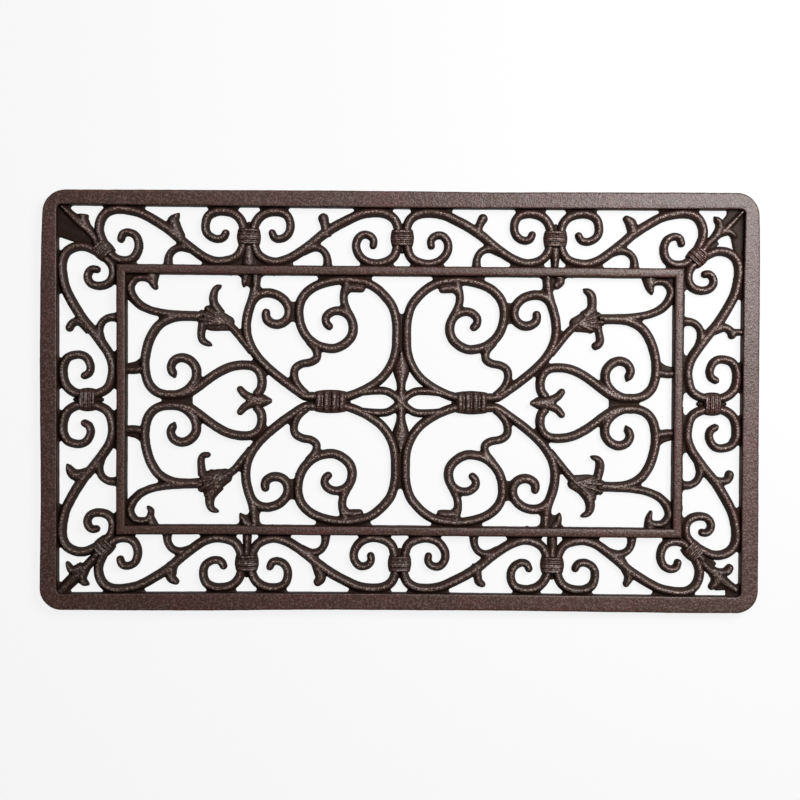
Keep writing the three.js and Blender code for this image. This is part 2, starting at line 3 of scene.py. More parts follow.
import bmesh
import bpy
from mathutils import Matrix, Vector


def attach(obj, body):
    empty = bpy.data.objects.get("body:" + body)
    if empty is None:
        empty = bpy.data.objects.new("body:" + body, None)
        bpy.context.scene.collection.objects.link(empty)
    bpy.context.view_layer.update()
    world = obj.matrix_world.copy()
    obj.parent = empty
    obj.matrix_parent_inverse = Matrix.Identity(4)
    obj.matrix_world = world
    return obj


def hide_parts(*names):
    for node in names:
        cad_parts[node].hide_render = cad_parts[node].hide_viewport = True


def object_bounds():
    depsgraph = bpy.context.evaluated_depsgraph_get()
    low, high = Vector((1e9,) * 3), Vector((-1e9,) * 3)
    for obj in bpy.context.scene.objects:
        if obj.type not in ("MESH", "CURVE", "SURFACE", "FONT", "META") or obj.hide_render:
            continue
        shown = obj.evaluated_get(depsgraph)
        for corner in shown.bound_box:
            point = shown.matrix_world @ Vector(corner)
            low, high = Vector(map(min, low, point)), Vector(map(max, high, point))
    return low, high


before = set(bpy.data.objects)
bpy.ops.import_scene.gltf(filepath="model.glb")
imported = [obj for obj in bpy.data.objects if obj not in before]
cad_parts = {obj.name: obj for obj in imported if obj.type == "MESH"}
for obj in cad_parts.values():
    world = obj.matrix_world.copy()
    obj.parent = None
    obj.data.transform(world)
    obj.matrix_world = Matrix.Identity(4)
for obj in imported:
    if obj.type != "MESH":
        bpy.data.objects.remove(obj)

# Dresses the cast iron door mat. The pattern is drawn on squared paper, one square to about a
# millimetre, and every scroll, collar, leaf and flower becomes a cast bar of its own.

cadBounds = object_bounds()
mm = 0.001

mat = {
    "halfLength": 360.0,
    "halfWidth": 210.0,
    "rimWidth": 17.5,
    "borderWidth": 57.5,
    "frameBarWidth": 10.0,
    "sideCollarShare": 0.4467,
    "cornerSquares": 191.5,
    "cornerReach": 62.0,
    "middleSquares": 152.5,
    "panelSquares": (276.0, 124.5),
}
rimInnerX = mat["halfLength"] - mat["rimWidth"]
rimInnerY = mat["halfWidth"] - mat["rimWidth"]
frameOuterX = rimInnerX - mat["borderWidth"]
frameOuterY = rimInnerY - mat["borderWidth"]
panelX = frameOuterX - mat["frameBarWidth"]
panelY = frameOuterY - mat["frameBarWidth"]
sideCollarX = rimInnerX * mat["sideCollarShare"]
quarters = {"top_left": (-1, 1), "top_right": (1, 1), "bottom_left": (-1, -1), "bottom_right": (1, -1)}


def withSettings(thing, **settings):
    for setting, value in settings.items():
        setattr(thing, setting, value)
    return thing


def addNode(tree, kind, inputs=None, **settings):
    node = withSettings(tree.nodes.new(kind), **settings)
    for socket, value in (inputs or {}).items():
        if isinstance(value, bpy.types.NodeSocket):
            tree.links.new(value, node.inputs[socket])
        else:
            node.inputs[socket].default_value = value
    return node.outputs


def linearColour(hexCode):
    channels = [int(hexCode[i:i + 2], 16) / 255 for i in (1, 3, 5)]
    linear = [c / 12.92 if c <= 0.04045 else ((c + 0.055) / 1.055) ** 2.4 for c in channels]
    return (*linear, 1.0)


def addObject(name, data):
    made = bpy.data.objects.new(name, data)
    bpy.context.scene.collection.objects.link(made)
    return made


def emptyMaterial(name):
    material = bpy.data.materials.new(name)
    material.use_nodes = True
    material.node_tree.nodes.clear()
    return material


# Materials come first

lacquer = {
    "noises": {  # size in mm, detail, roughness
        "grain": (1.9, 3.0, 0.6),  # the sand of the mould
        "pits": (4.5, 2.0, 0.55),
        "patches": (38.0, 3.0, 0.6),  # clouds of redder and browner lacquer
    },
    "bumps": {"pits": (0.5, 0.8), "grain": (0.36, 1.0)},  # depth in mm, strength
    "shares": {  # what decides, where the share begins, where it is full, how much it is then
        "red": ("patches", 0.46, 0.66, 0.85),
        "umber": ("pits", 0.42, 0.7, 0.7),
        # Painted shade that darkens the steep sides of bars and rails
        "flankShade": ("slope", 0.9, 0.45, 1.0),
        # Height keeps the rubbed lacquer and its painted highlight on the high places; turned round, it
        # gives the low places painted shade
        "high": ("height", 6.4 * mm, 9.2 * mm, 1.0),  # feet never reach what lies lower, such as webs
        # Painted shade in the low places, such as the webs between the bars
        "lowShade": ("high", 1.0, 0.0, 0.8),
        "top": ("slope", 0.78, 0.98, 1.0),
        "grainy": ("grain", 0.47, 0.68, 1.0),
    },
    "finish": {"Roughness": (0.4, 0.62), "Specular IOR Level": (0.5, 0.12)},  # in the open, in hollows
}
# Each iron: its lacquer colours, the near-black colour of the painted shade on steep sides and in low
# places, and the pale colour of rubbed lacquer with a painted highlight, with how strong that is
irons = {
    "rubbedSandCastIron": {
        "brown": "#482f28", "red": "#55302d", "umber": "#3e2c24", "paintedShade": "#2a1a16", "rubbed": "#8c746d",
        "rubbedShare": 0.55, "shift": (0.13, 0.091, 0.0),
    },
    "lacqueredSandCastIron": {
        "brown": "#432d27", "red": "#502f2b", "umber": "#3a2a23", "paintedShade": "#241812", "rubbed": "#bda79d",
        "rubbedShare": 1.0, "shift": (0.41, 0.287, 0.0),
    },
}


def makeLacqueredIron(name, iron):
    # Sand-cast grey iron under a thin brown antique lacquer: matt and grainy, redder where the lacquer
    # pooled, with painted shade that makes the steep sides and the low places nearly black, and paler and
    # smoother on the high tops, partly from rubbed lacquer and partly as a painted highlight
    material = emptyMaterial(name)
    tree = material.node_tree
    place = addNode(tree, "ShaderNodeTexCoord")["Object"]
    normal = addNode(tree, "ShaderNodeNewGeometry")["Normal"]
    moved = addNode(tree, "ShaderNodeMapping", {"Vector": place, "Location": iron["shift"]})[0]
    here = {
        "slope": addNode(tree, "ShaderNodeSeparateXYZ", {"Vector": normal})["Z"],
        "height": addNode(tree, "ShaderNodeSeparateXYZ", {"Vector": place})["Z"],
    }
    for label, (size, detail, roughness) in lacquer["noises"].items():
        here[label] = addNode(tree, "ShaderNodeTexNoise", {
            "Vector": moved, "Scale": 1 / (size * mm), "Detail": detail, "Roughness": roughness,
        })["Fac"]
    for label, (decider, start, full, most) in lacquer["shares"].items():
        here[label] = addNode(tree, "ShaderNodeMapRange", {
            "Value": here[decider], "From Min": start, "From Max": full, "To Max": most,
        })["Result"]
    # The painted shade: the stronger of the two shade shares; it darkens the colour and makes the iron
    # rougher and less glossy there
    here["paintedShade"] = addNode(tree, "ShaderNodeMath", {
        0: here["flankShade"], 1: here["lowShade"],
    }, operation="MAXIMUM")[0]
    # Paler on the high, upward-facing, grainy tops: partly lacquer rubbed off by feet, partly a painted
    # highlight
    here["rubbed"] = here["top"]
    for share in (here["high"], here["grainy"], iron["rubbedShare"]):
        here["rubbed"] = addNode(tree, "ShaderNodeMath", {
            0: here["rubbed"], 1: share,
        }, operation="MULTIPLY")[0]
    colour = linearColour(iron["brown"])
    for label in ("red", "umber", "paintedShade", "rubbed"):
        colour = addNode(tree, "ShaderNodeMix", {
            0: here[label], 6: colour, 7: linearColour(iron[label]),
        }, data_type="RGBA")[2]
    bumped = {}
    for label, (depth, strength) in lacquer["bumps"].items():
        bumped = {"Normal": addNode(tree, "ShaderNodeBump", {
            "Height": here[label], "Distance": depth * mm, "Strength": strength, **bumped,
        })["Normal"]}
    surface = {"Base Color": colour, **bumped}
    for label, (inTheOpen, inHollows) in lacquer["finish"].items():
        surface[label] = addNode(tree, "ShaderNodeMapRange", {
            "Value": here["paintedShade"], "To Min": inTheOpen, "To Max": inHollows,
        })["Result"]
    shader = addNode(tree, "ShaderNodeBsdfPrincipled", surface)["BSDF"]
    addNode(tree, "ShaderNodeOutputMaterial", {"Surface": shader})
    return material


railIron, ornamentIron = [makeLacqueredIron(name, iron) for name, iron in irons.items()]
print("materials ready")

cast = {
    "step": 1.5,  # mm, between two sections of a bar
    "profileSides": 20,
    "profileSpread": 1.07,  # makes the sides of a bar upright
    # A bar that doesn't say otherwise has no ribs, thin edges and a round ridge
    "ribPitch": 5.4,
    "ribDepth": 0.0,
    "edgeShare": 0.46,
    "ridgePower": 1.7,
    "voxel": 0.95,  # mm
    "smoothing": 3,
    "softness": 0.5,
    "swell": 0.22,  # mm, given back after the softening, which thins a bar
    "waver": 0.6,
    "waverSize": 45.0,
    "lumps": 0.5,
    "lumpSize": 7.0,
    "flatBelow": 1.0,  # mm, what lies lower is pressed flat on the floor
    "ornamentFloor": 0.2,  # mm, so that no underside lies in the rails' plane
    "inside": 0.02,  # mm, kept within the box of the solids
    "crumbFaces": 100,  # a loose bit with fewer faces is dropped
}
webs = {
    "reach": 1.9,  # mm, the radius that the iron leaves in a narrow corner
    "heartReach": 3.4,  # between a ring and a heart
    "height": 4.8,
    "step": 2.5,
    "widthShare": 0.78,
    "voxel": 1.2,
    "smoothing": 2,
    "railWidth": 2.4,  # mm, of the bars that stand for the neighbours
    "scrollWidth": 7.0,
    "neighbourHeight": 9.0,
}

# What the points of a bar, of its resampled curve and of its profile carry
barLabels = ("barWidth", "barHeight", "ribDepth", "edgeShare", "ridgePower")
curveLabels = ("sweptWidth", "sweptHeight")
profileLabels = ("across", "onTop")
allLabels = (*barLabels, *curveLabels, *profileLabels)


def startTree(name, sizes):
    # A tree that takes geometry, named sizes and a material
    tree = bpy.data.node_groups.new(name, "GeometryNodeTree")
    face = tree.interface
    face.new_socket("Geometry", in_out="INPUT", socket_type="NodeSocketGeometry")
    for label, value in sizes.items():
        kind = "NodeSocketVector" if isinstance(value, tuple) else "NodeSocketFloat"
        face.new_socket(label, in_out="INPUT", socket_type=kind).default_value = value
    face.new_socket("Material", in_out="INPUT", socket_type="NodeSocketMaterial")
    face.new_socket("Geometry", in_out="OUTPUT", socket_type="NodeSocketGeometry")
    return tree, addNode(tree, "NodeGroupInput")


def finishTree(tree, given, shape):
    shape = addNode(tree, "GeometryNodeRealizeInstances", {"Geometry": shape})[0]
    shape = addNode(tree, "GeometryNodeSetMaterial", {"Geometry": shape, "Material": given["Material"]})[0]
    addNode(tree, "NodeGroupOutput", {"Geometry": shape})
    return tree


def makeBarTree():
    # Sweeps a ridged bar along smooth curves through points that carry their own width and height.
    # Grow swells every bar on all sides, for the webs.
    tree, given = startTree("castBar", {
        "Step": cast["step"] * mm, "Rib Pitch": cast["ribPitch"] * mm, "Width Share": 1.0, "Grow": 0.0,
        "Highest": 1.0,
    })
    carried = {}
    for label in allLabels:
        kind = "GeometryNodeInputNamedAttribute"
        carried[label] = addNode(tree, kind, {"Name": label}, data_type="FLOAT")[0]
    along = addNode(tree, "GeometryNodeSplineParameter")["Length"]
    position = addNode(tree, "GeometryNodeInputPosition")[0]
    spot = addNode(tree, "ShaderNodeSeparateXYZ", {"Vector": position})
    twice = addNode(tree, "ShaderNodeMath", {0: given["Grow"], 1: 2.0}, operation="MULTIPLY")[0]
    loss = addNode(tree, "ShaderNodeMath", {0: 1.0, 1: carried["edgeShare"]}, operation="SUBTRACT")[0]
    slack = 0.001

    # Each sum starts from a value and takes it through one operation after another
    sums = {
        # Ribs across a bar: it is lower between them
        "sweptHeight": [
            along, ("DIVIDE", given["Rib Pitch"]), ("MULTIPLY", math.pi), ("SINE",), ("ABSOLUTE",),
            ("MULTIPLY_ADD", -1.0, 1.0), ("MULTIPLY", carried["ribDepth"]), ("MULTIPLY_ADD", -1.0, 1.0),
            ("MULTIPLY", carried["barHeight"]),
        ],
        "sweptWidth": [carried["barWidth"], ("MULTIPLY", given["Width Share"]), ("ADD", twice)],
        # The profile only says how far across a point is and whether it is on top. A curve whose normal
        # is Z up carries the profile's Y downwards, so the top is drawn on the lower half of the circle.
        "across": [spot["X"], ("MULTIPLY", cast["profileSpread"]), ("MAXIMUM", -1.0), ("MINIMUM", 1.0)],
        "onTop": [spot["Y"], ("LESS_THAN", slack)],
        "halfAcross": [carried["across"], ("MULTIPLY", 0.5)],
        "halfDown": [carried["onTop"], ("MULTIPLY", -0.5)],
        # The cross-section falls from the ridge to the edges, and stands on the floor
        "level": [
            carried["across"], ("ABSOLUTE",), ("POWER", carried["ridgePower"]), ("MULTIPLY", loss),
            ("MULTIPLY_ADD", -1.0, 1.0), ("MULTIPLY", carried["sweptHeight"]),
            ("MINIMUM", given["Highest"]), ("ADD", twice), ("MULTIPLY", carried["onTop"]),
            ("SUBTRACT", given["Grow"]),
        ],
    }
    for label, (value, *steps) in sums.items():
        for operation, *others in steps:
            inputs = dict(enumerate((value, *others)))
            value = addNode(tree, "ShaderNodeMath", inputs, operation=operation)[0]
        sums[label] = value

    curve = addNode(tree, "GeometryNodeMeshToCurve", {"Mesh": given["Geometry"]})[0]
    curve = addNode(tree, "GeometryNodeCurveSplineType", {"Curve": curve}, spline_type="CATMULL_ROM")[0]
    curve = addNode(tree, "GeometryNodeResampleCurve", {
        "Curve": curve, "Length": given["Step"],
    }, mode="LENGTH")[0]
    curve = addNode(tree, "GeometryNodeSetCurveNormal", {"Curve": curve}, mode="Z_UP")[0]
    circle = addNode(tree, "GeometryNodeCurvePrimitiveCircle", {"Resolution": cast["profileSides"]})[0]
    labelled = []
    for shape, labels in ((curve, curveLabels), (circle, profileLabels)):
        for label in labels:
            shape = addNode(tree, "GeometryNodeStoreNamedAttribute", {
                "Geometry": shape, "Name": label, "Value": sums[label],
            }, data_type="FLOAT", domain="POINT")[0]
        labelled.append(shape)
    curve, profile = labelled
    corner = addNode(tree, "ShaderNodeCombineXYZ", {"X": sums["halfAcross"], "Y": sums["halfDown"]})[0]
    profile = addNode(tree, "GeometryNodeSetPosition", {"Geometry": profile, "Position": corner})[0]
    bar = addNode(tree, "GeometryNodeCurveToMesh", {
        "Curve": curve, "Profile Curve": profile, "Scale": carried["sweptWidth"], "Fill Caps": True,
    })[0]
    standing = addNode(tree, "ShaderNodeCombineXYZ", {
        "X": spot["X"], "Y": spot["Y"], "Z": sums["level"],
    })[0]
    bar = addNode(tree, "GeometryNodeSetPosition", {"Geometry": bar, "Position": standing})[0]
    return finishTree(tree, given, bar)


def makeSkinTree():
    # Gives a piece the slight waver of a hand-rammed mould, keeps it flat below and within the box of
    # the solids, and drops loose crumbs
    lowest, highest = cadBounds
    inside = cast["inside"] * mm
    tree, given = startTree("castSkin", {
        "Waver": cast["waver"] * mm, "Waver Size": cast["waverSize"] * mm,
        "Lumps": cast["lumps"] * mm, "Lump Size": cast["lumpSize"] * mm, "Floor": 0.0,
        "Lowest": (lowest[0] + inside, lowest[1] + inside, lowest[2]),
        "Highest": (highest[0] - inside, highest[1] - inside, highest[2] - inside),
    })
    place = addNode(tree, "GeometryNodeInputPosition")[0]
    offset = (0.0, 0.0, 0.0)
    for amount, size in (("Waver", "Waver Size"), ("Lumps", "Lump Size")):
        scale = addNode(tree, "ShaderNodeMath", {0: 1.0, 1: given[size]}, operation="DIVIDE")[0]
        noise = addNode(tree, "ShaderNodeTexNoise", {
            "Vector": place, "Scale": scale, "Detail": 1.0,
        })["Color"]
        centred = addNode(tree, "ShaderNodeVectorMath", {
            0: noise, 1: (0.5, 0.5, 0.5),
        }, operation="SUBTRACT")[0]
        scaled = addNode(tree, "ShaderNodeVectorMath", {
            0: centred, "Scale": given[amount],
        }, operation="SCALE")[0]
        offset = addNode(tree, "ShaderNodeVectorMath", {0: offset, 1: scaled}, operation="ADD")[0]
    kept = place
    for operation, other in (("ADD", offset), ("MAXIMUM", given["Lowest"]), ("MINIMUM", given["Highest"])):
        kept = addNode(tree, "ShaderNodeVectorMath", {0: kept, 1: other}, operation=operation)[0]
    kept = addNode(tree, "ShaderNodeSeparateXYZ", {"Vector": kept})
    was = addNode(tree, "ShaderNodeSeparateXYZ", {"Vector": place})
    low = addNode(tree, "ShaderNodeMath", {0: was["Z"], 1: cast["flatBelow"] * mm}, operation="LESS_THAN")[0]
    level = addNode(tree, "GeometryNodeSwitch", {
        0: low, 1: kept["Z"], 2: given["Floor"],
    }, input_type="FLOAT")[0]
    level = addNode(tree, "ShaderNodeMath", {0: level, 1: given["Floor"]}, operation="MAXIMUM")[0]
    spot = addNode(tree, "ShaderNodeCombineXYZ", {"X": kept["X"], "Y": kept["Y"], "Z": level})[0]
    skin = addNode(tree, "GeometryNodeSetPosition", {"Geometry": given["Geometry"], "Position": spot})[0]
    island = addNode(tree, "GeometryNodeInputMeshIsland")["Island Index"]
    faces = addNode(tree, "GeometryNodeAccumulateField", {
        "Value": 1, "Group ID": island,
    }, data_type="INT", domain="FACE")["Total"]
    crumb = addNode(tree, "ShaderNodeMath", {0: faces, 1: cast["crumbFaces"]}, operation="LESS_THAN")[0]
    skin = addNode(tree, "GeometryNodeDeleteGeometry", {
        "Geometry": skin, "Selection": crumb,
    }, domain="FACE")[0]
    return finishTree(tree, given, skin)


barTree = makeBarTree()
skinTree = makeSkinTree()


def addTree(piece, tree, values):
    modifier = piece.modifiers.new(tree.name, "NODES")
    modifier.node_group = tree
    for item in tree.interface.items_tree:
        if item.in_out == "INPUT" and item.name in values:
            modifier[item.identifier] = values[item.name]


# How a bar ends: how far each added point lies beyond its end, and how wide it is there, in widths
tips = {
    "flat": [],
    "round": [(0.28, 0.82), (0.45, 0.4)],
    "point": [(0.3, 0.55), (0.6, 0.12)],
}


def bake(piece):
    evaluated = piece.evaluated_get(bpy.context.evaluated_depsgraph_get())
    mesh = bpy.data.meshes.new_from_object(evaluated)
    for label in allLabels:
        if label in mesh.attributes:
            mesh.attributes.remove(mesh.attributes[label])
    piece.modifiers.clear()
    piece.data = mesh
    return piece


def handIn(piece, node):
    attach(piece, "root")
    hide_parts(node)


def shareAt(shares, at):
    spot = at * (len(shares) - 1)
    before = min(int(spot), max(len(shares) - 2, 0))
    after = min(before + 1, len(shares) - 1)
    return shares[before] + (shares[after] - shares[before]) * (spot - before)


def drawBars(name, bars, place):
    # The bars as bare polylines, whose points carry what the bar tree reads
    points, edges = [], []
    values = {label: [] for label in barLabels}
    for bar in bars:
        spots = [Vector(place(*point)) for point in bar["points"]]
        run = [0]
        for first, second in zip(spots, spots[1:]):
            run.append(run[-1] + (second - first).length)
        rows = []
        for spot, length in zip(spots, run):
            at = length / run[-1]
            rows.append((spot, shareAt(bar.get("shares", [1]), at), shareAt(bar.get("lift", [1]), at)))
        ends = {"start": (rows[0], spots[0] - spots[1]), "finish": (rows[-1], spots[-1] - spots[-2])}
        for end, ((spot, share, lift), way) in ends.items():
            for out, narrow in tips[bar.get(end, "flat")]:
                beyond = spot + way.normalized() * out * bar["width"] * share
                row = (beyond, share * narrow, lift * (1 + narrow) / 2)
                rows.insert(0 if end == "start" else len(rows), row)
        base = len(points)
        edges += [(base + i, base + i + 1) for i in range(len(rows) - 1)]
        for spot, share, lift in rows:
            points.append(spot * mm)
            values["barWidth"].append(bar["width"] * share * mm)
            values["barHeight"].append(bar["height"] * lift * mm)
            for label in ("ribDepth", "edgeShare", "ridgePower"):
                values[label].append(bar.get(label, cast[label]))
    mesh = bpy.data.meshes.new(name)
    mesh.from_pydata(points, edges, [])
    for label, numbers in values.items():
        mesh.attributes.new(label, "FLOAT", "POINT").data.foreach_set("value", numbers)
    return addObject(name, mesh)


def fuse(piece, fineness):
    remesh = piece.modifiers.new("fuse", "REMESH")
    withSettings(remesh, mode="VOXEL", voxel_size=fineness["voxel"] * mm, use_smooth_shade=True)
    smooth = piece.modifiers.new("soften", "SMOOTH")
    withSettings(smooth, factor=cast["softness"], iterations=fineness["smoothing"])


def push(piece, distance):
    displace = piece.modifiers.new("push", "DISPLACE")
    withSettings(displace, direction="NORMAL", mid_level=0.0, strength=distance * mm)


def makeWebs(bars, helpers, place, reach):
    # The thin iron that fills narrow corners: all bars swollen until they meet, then shrunk back.
    # The helpers stand for the neighbours, so that the webs reach them, and end inside them.
    web = drawBars("web", [bar for bar in (*bars, *helpers) if bar.get("webbed", True)], place)
    addTree(web, barTree, {
        "Step": webs["step"] * mm, "Width Share": webs["widthShare"], "Grow": reach * mm,
        "Highest": webs["height"] * mm, "Material": ornamentIron,
    })
    fuse(web, webs)
    push(web, -reach)
    return bake(web)


def makePiece(node, bars, place, helpers=None, reach=webs["reach"], pitch=cast["ribPitch"], fineness=cast):
    piece = drawBars("cast_" + node, bars, place)
    addTree(piece, barTree, {"Rib Pitch": pitch * mm, "Material": ornamentIron})
    if helpers is not None:
        bake(piece)
        web = makeWebs(bars, helpers, place, reach)
        both = bmesh.new()
        both.from_mesh(piece.data)
        both.from_mesh(web.data)
        both.to_mesh(piece.data)
        both.free()
        bpy.data.objects.remove(web)
    fuse(piece, fineness)
    push(piece, cast["swell"])
    addTree(piece, skinTree, {"Floor": cast["ornamentFloor"] * mm, "Material": ornamentIron})
    bake(piece)
    handIn(piece, node)


# How far this casting strays from its drawing, in mm: a hand-cut pattern, no two quarters alike.
# Each row runs from left to right, from the top rail down to the bottom one.
strays = {
    "right": [
        [-1.5, 0.3, 0.8, 2, 0.3],
        [-0.9, -0.3, 0.8, 0.5, -1.5],
        [-0.2, 0.5, 0.4, 0.3, -1.8],
        [0.3, 0.1, 0, -0.2, -2.4],
        [0.8, -0.6, -0.5, -0.8, -2.8],
    ],
    "up": [
        [2.9, 1.5, 0.5, 0.4, 1.1],
        [1, 0.4, 0, -0.3, -1.4],
        [0.3, 0, -0.7, -1.3, -0.9],
        [0.3, 0.9, 0.4, -0.2, -0.3],
        [-1.3, 0.8, 1.2, 0.2, -0.9],
    ],
    # how far the rim's outer edge lies inside its box, left to right or top to bottom
    "topEdge": [0.3, 0, 0, 0, 0.2, 1, 0.5, 0.1, 0.4],
    "bottomEdge": [0.3, 0, 0.4, 1.8, 1.8, 1.8, 1.2, 0.4, 0.3],
    "leftEdge": [2.6, 0.8, 0, 0, 0, 0.7, 1.3, 1.5, 1.1, 0.8],
    "rightEdge": [3.6, 2.4, 2.2, 2.4, 2.5, 2.6, 2.6, 2.6, 2.6, 2.8],
}


def shareOfMat(x, y):
    across = (x + mat["halfLength"]) / (2 * mat["halfLength"])
    down = (mat["halfWidth"] - y) / (2 * mat["halfWidth"])
    return min(max(across, 0.0), 1.0), min(max(down, 0.0), 1.0)


def strayed(x, y):
    across, down = shareOfMat(x, y)
    right, up = [shareAt([shareAt(row, across) for row in strays[way]], down) for way in ("right", "up")]
    return x + right, y + up, 0.0


def strayedFrame(x, y):
    x, y, _ = strayed(x, y)
    return x + (innerFrame["rightSide"] if x > 0 else innerFrame["leftSide"]), y, 0.0


def strayedEdge(x, y):
    across, down = shareOfMat(x, y)
    insetX = shareAt(strays["leftEdge" if x < 0 else "rightEdge"], down)
    insetY = shareAt(strays["topEdge" if y > 0 else "bottomEdge"], across)
    return x * (1 - insetX / mat["halfLength"]), y * (1 - insetY / mat["halfWidth"])


def alongSide(x, length):
    # Past the corner the paper is stretched to the length of the side
    reach = mat["cornerReach"]
    stretch = (length - reach) / (mat["cornerSquares"] - reach)
    return min(x, reach) + stretch * max(x - reach, 0.0)


# Where a point of each squared paper lies, measured from the middle of the mat
papers = {
    "longSide": lambda x, y: (rimInnerX - alongSide(x, rimInnerX - sideCollarX), rimInnerY - y),
    "shortSide": lambda x, y: (rimInnerX - y, rimInnerY - alongSide(x, rimInnerY)),
    "corner": lambda x, y: (rimInnerX - x, rimInnerY - y),
    "middle": lambda x, y: (sideCollarX * (1 - x / mat["middleSquares"]), rimInnerY - y),
    "panel": lambda x, y: (panelX * x / mat["panelSquares"][0], panelY * y / mat["panelSquares"][1]),
}


def onPaper(paper, sideX, sideY):
    def place(x, y):
        across, up = papers[paper](x, y)
        return strayed(sideX * across, sideY * up)
    return place


rail = {
    "step": 3.0,  # mm, between two sections
    "cornerBends": 10,
    "sharpAngle": 50,  # degrees
}
rim = {
    "cornerRadius": 22.0,
    "waver": 0.5,
    # across and up, from the outer wall over the top to the inner wall
    "profile": [(0.15, 0.0), (0.15, 10.6), (0.35, 11.3), (1.0, 11.8), (2.2, 11.95), (6.0, 11.9),
                (11.5, 11.9), (15.6, 11.95), (16.7, 11.8), (17.25, 11.2), (17.4, 10.3), (17.5, 0.0)],
}
innerFrame = {
    "cornerRadius": 0.0,
    "leftSide": 1.0,  # mm, how far the short bars stray on their own
    "rightSide": -2.0,
    "waver": 0.6,
    "profile": [(0.0, 0.0), (0.15, 8.0), (0.5, 10.2), (1.2, 11.1), (2.3, 11.5), (5.0, 11.55), (7.7, 11.5),
                (8.8, 11.1), (9.5, 10.2), (9.85, 8.0), (10.0, 0.0)],
}


def towards(angle):
    return Vector((math.cos(angle), math.sin(angle)))


def loopStations(halfX, halfY, radius):
    # Points once round a rectangle, counterclockwise, each with the direction that is outward
    signs = [(1, 1), (-1, 1), (-1, -1), (1, -1)]
    stations = []
    for corner, (signX, signY) in enumerate(signs):
        centre = Vector((signX * (halfX - radius), signY * (halfY - radius)))
        ways = [Vector((signX, signY))]
        if radius > 0:
            bends = [corner + bend / rail["cornerBends"] for bend in range(rail["cornerBends"] + 1)]
            ways = [towards(bend * math.pi / 2) for bend in bends]
        stations += [(centre + way * radius, way) for way in ways]
        out = towards((corner + 1) * math.pi / 2)
        nextX, nextY = signs[(corner + 1) % 4]
        begin = stations[-1][0]
        target = Vector((nextX * (halfX - radius), nextY * (halfY - radius))) + out * radius
        count = int((target - begin).length / rail["step"])
        stations += [(begin.lerp(target, part / count), out) for part in range(1, count)]
    return stations


def makeRail(node, halfX, halfY, shape, edgePlace, innerPlace):
    # Skins the profile round the loop: its first point lies on the outer edge
    profile = shape["profile"]
    width = profile[-1][0]
    points, faces = [], []
    for spot, out in loopStations(halfX, halfY, shape["cornerRadius"]):
        inner = spot - out * width
        innerMove = Vector(innerPlace(*inner)[:2]) - inner
        outerMove = Vector(edgePlace(*spot)[:2]) - spot
        for across, up in profile:
            x, y = spot - out * across + outerMove.lerp(innerMove, across / width)
            points.append((x * mm, y * mm, up * mm))
    sides = len(profile)
    for base in range(0, len(points), sides):
        ahead = (base + sides) % len(points)
        for side in range(sides):
            after = (side + 1) % sides
            faces.append((base + side, ahead + side, ahead + after, base + after))
    mesh = bpy.data.meshes.new(node)
    mesh.from_pydata(points, [], faces)
    mesh.shade_smooth()
    piece = addObject("cast_" + node, mesh)
    addTree(piece, skinTree, {"Waver": shape["waver"] * mm, "Material": railIron})
    bake(piece)
    piece.data.set_sharp_from_angle(angle=math.radians(rail["sharpAngle"]))
    handIn(piece, node)


makeRail("outer_rim", mat["halfLength"], mat["halfWidth"], rim, strayedEdge, strayed)
makeRail("inner_frame", frameOuterX, frameOuterY, innerFrame, strayedFrame, strayedFrame)
print("rails ready")

curl = {"width": 9.2, "height": 9.6}
sprig = {"width": 8.0, "height": 8.6}
petal = {"width": 8.4, "height": 8.4, "webbed": False}
arch = {"width": 8.0, "height": 8.2, "shares": [1.25, 1, 0.9, 0.95, 1.2]}
lowIron = {"height": webs["height"], "edgeShare": 0.9}

bothCurlShares = [0.8, 0.92, 1, 1, 1.03, 1.06, 1.06, 1.03, 1, 1, 0.92, 0.8]
oneCurlShares = [1, 1, 1, 1, 1, 1, 1, 1.02, 0.85]


def barOf(points, kind, **others):
    return {"points": points, **kind, **others}


def carvedBar(carving, kind, **others):
    points, shares, finish = carving
    return barOf(points, kind, shares=shares, finish=finish, **others)


def helper(points, width):
    return {"points": points, "width": width / webs["widthShare"], "height": webs["neighbourHeight"]}


def railHelpers(scroll):
    return [helper(points, webs["railWidth"]) for points in scroll["rails"]]


cornerScroll = {
    "body": [
        (56.5, 52), (49.5, 44.5), (44, 35.5), (40.5, 27), (40.5, 18), (44, 10), (50, 5),
        (59, 3), (70.5, 4), (82.5, 7), (96.5, 14.2), (111.5, 23.7), (123.5, 33.8), (135.5, 43),
        (147, 50.5), (158.5, 54), (170, 53), (179.5, 49), (185, 40), (186.5, 29), (185.5, 18),
        (181.5, 10.5), (175.5, 6), (167, 4), (158, 4.5), (150.5, 8.5), (147.5, 15.5), (147.5, 23),
        (151, 28.5), (158.5, 31.7), (165, 30.3), (168, 25.5),
    ],
    "longTip": [(62, 33), (64, 27.5), (70, 26), (77, 29.5), (80, 37.5), (78.5, 46), (73.5, 52), (65.5, 54)],
    "shortTip": [
        (63, 38), (62.7, 33.2), (66.5, 29.5), (72, 28.9), (77.3, 33), (79, 41), (76.5, 49.5), (70.5, 54),
        (63, 54.5),
    ],
    "arch": [(133, 41.5), (123, 40.3), (114.8, 43.2), (110.3, 50), (109.8, 59)],
    "rails": [[(34, -2), (191, -2)], [(59.5, 59.5), (191, 59.5)]],
}
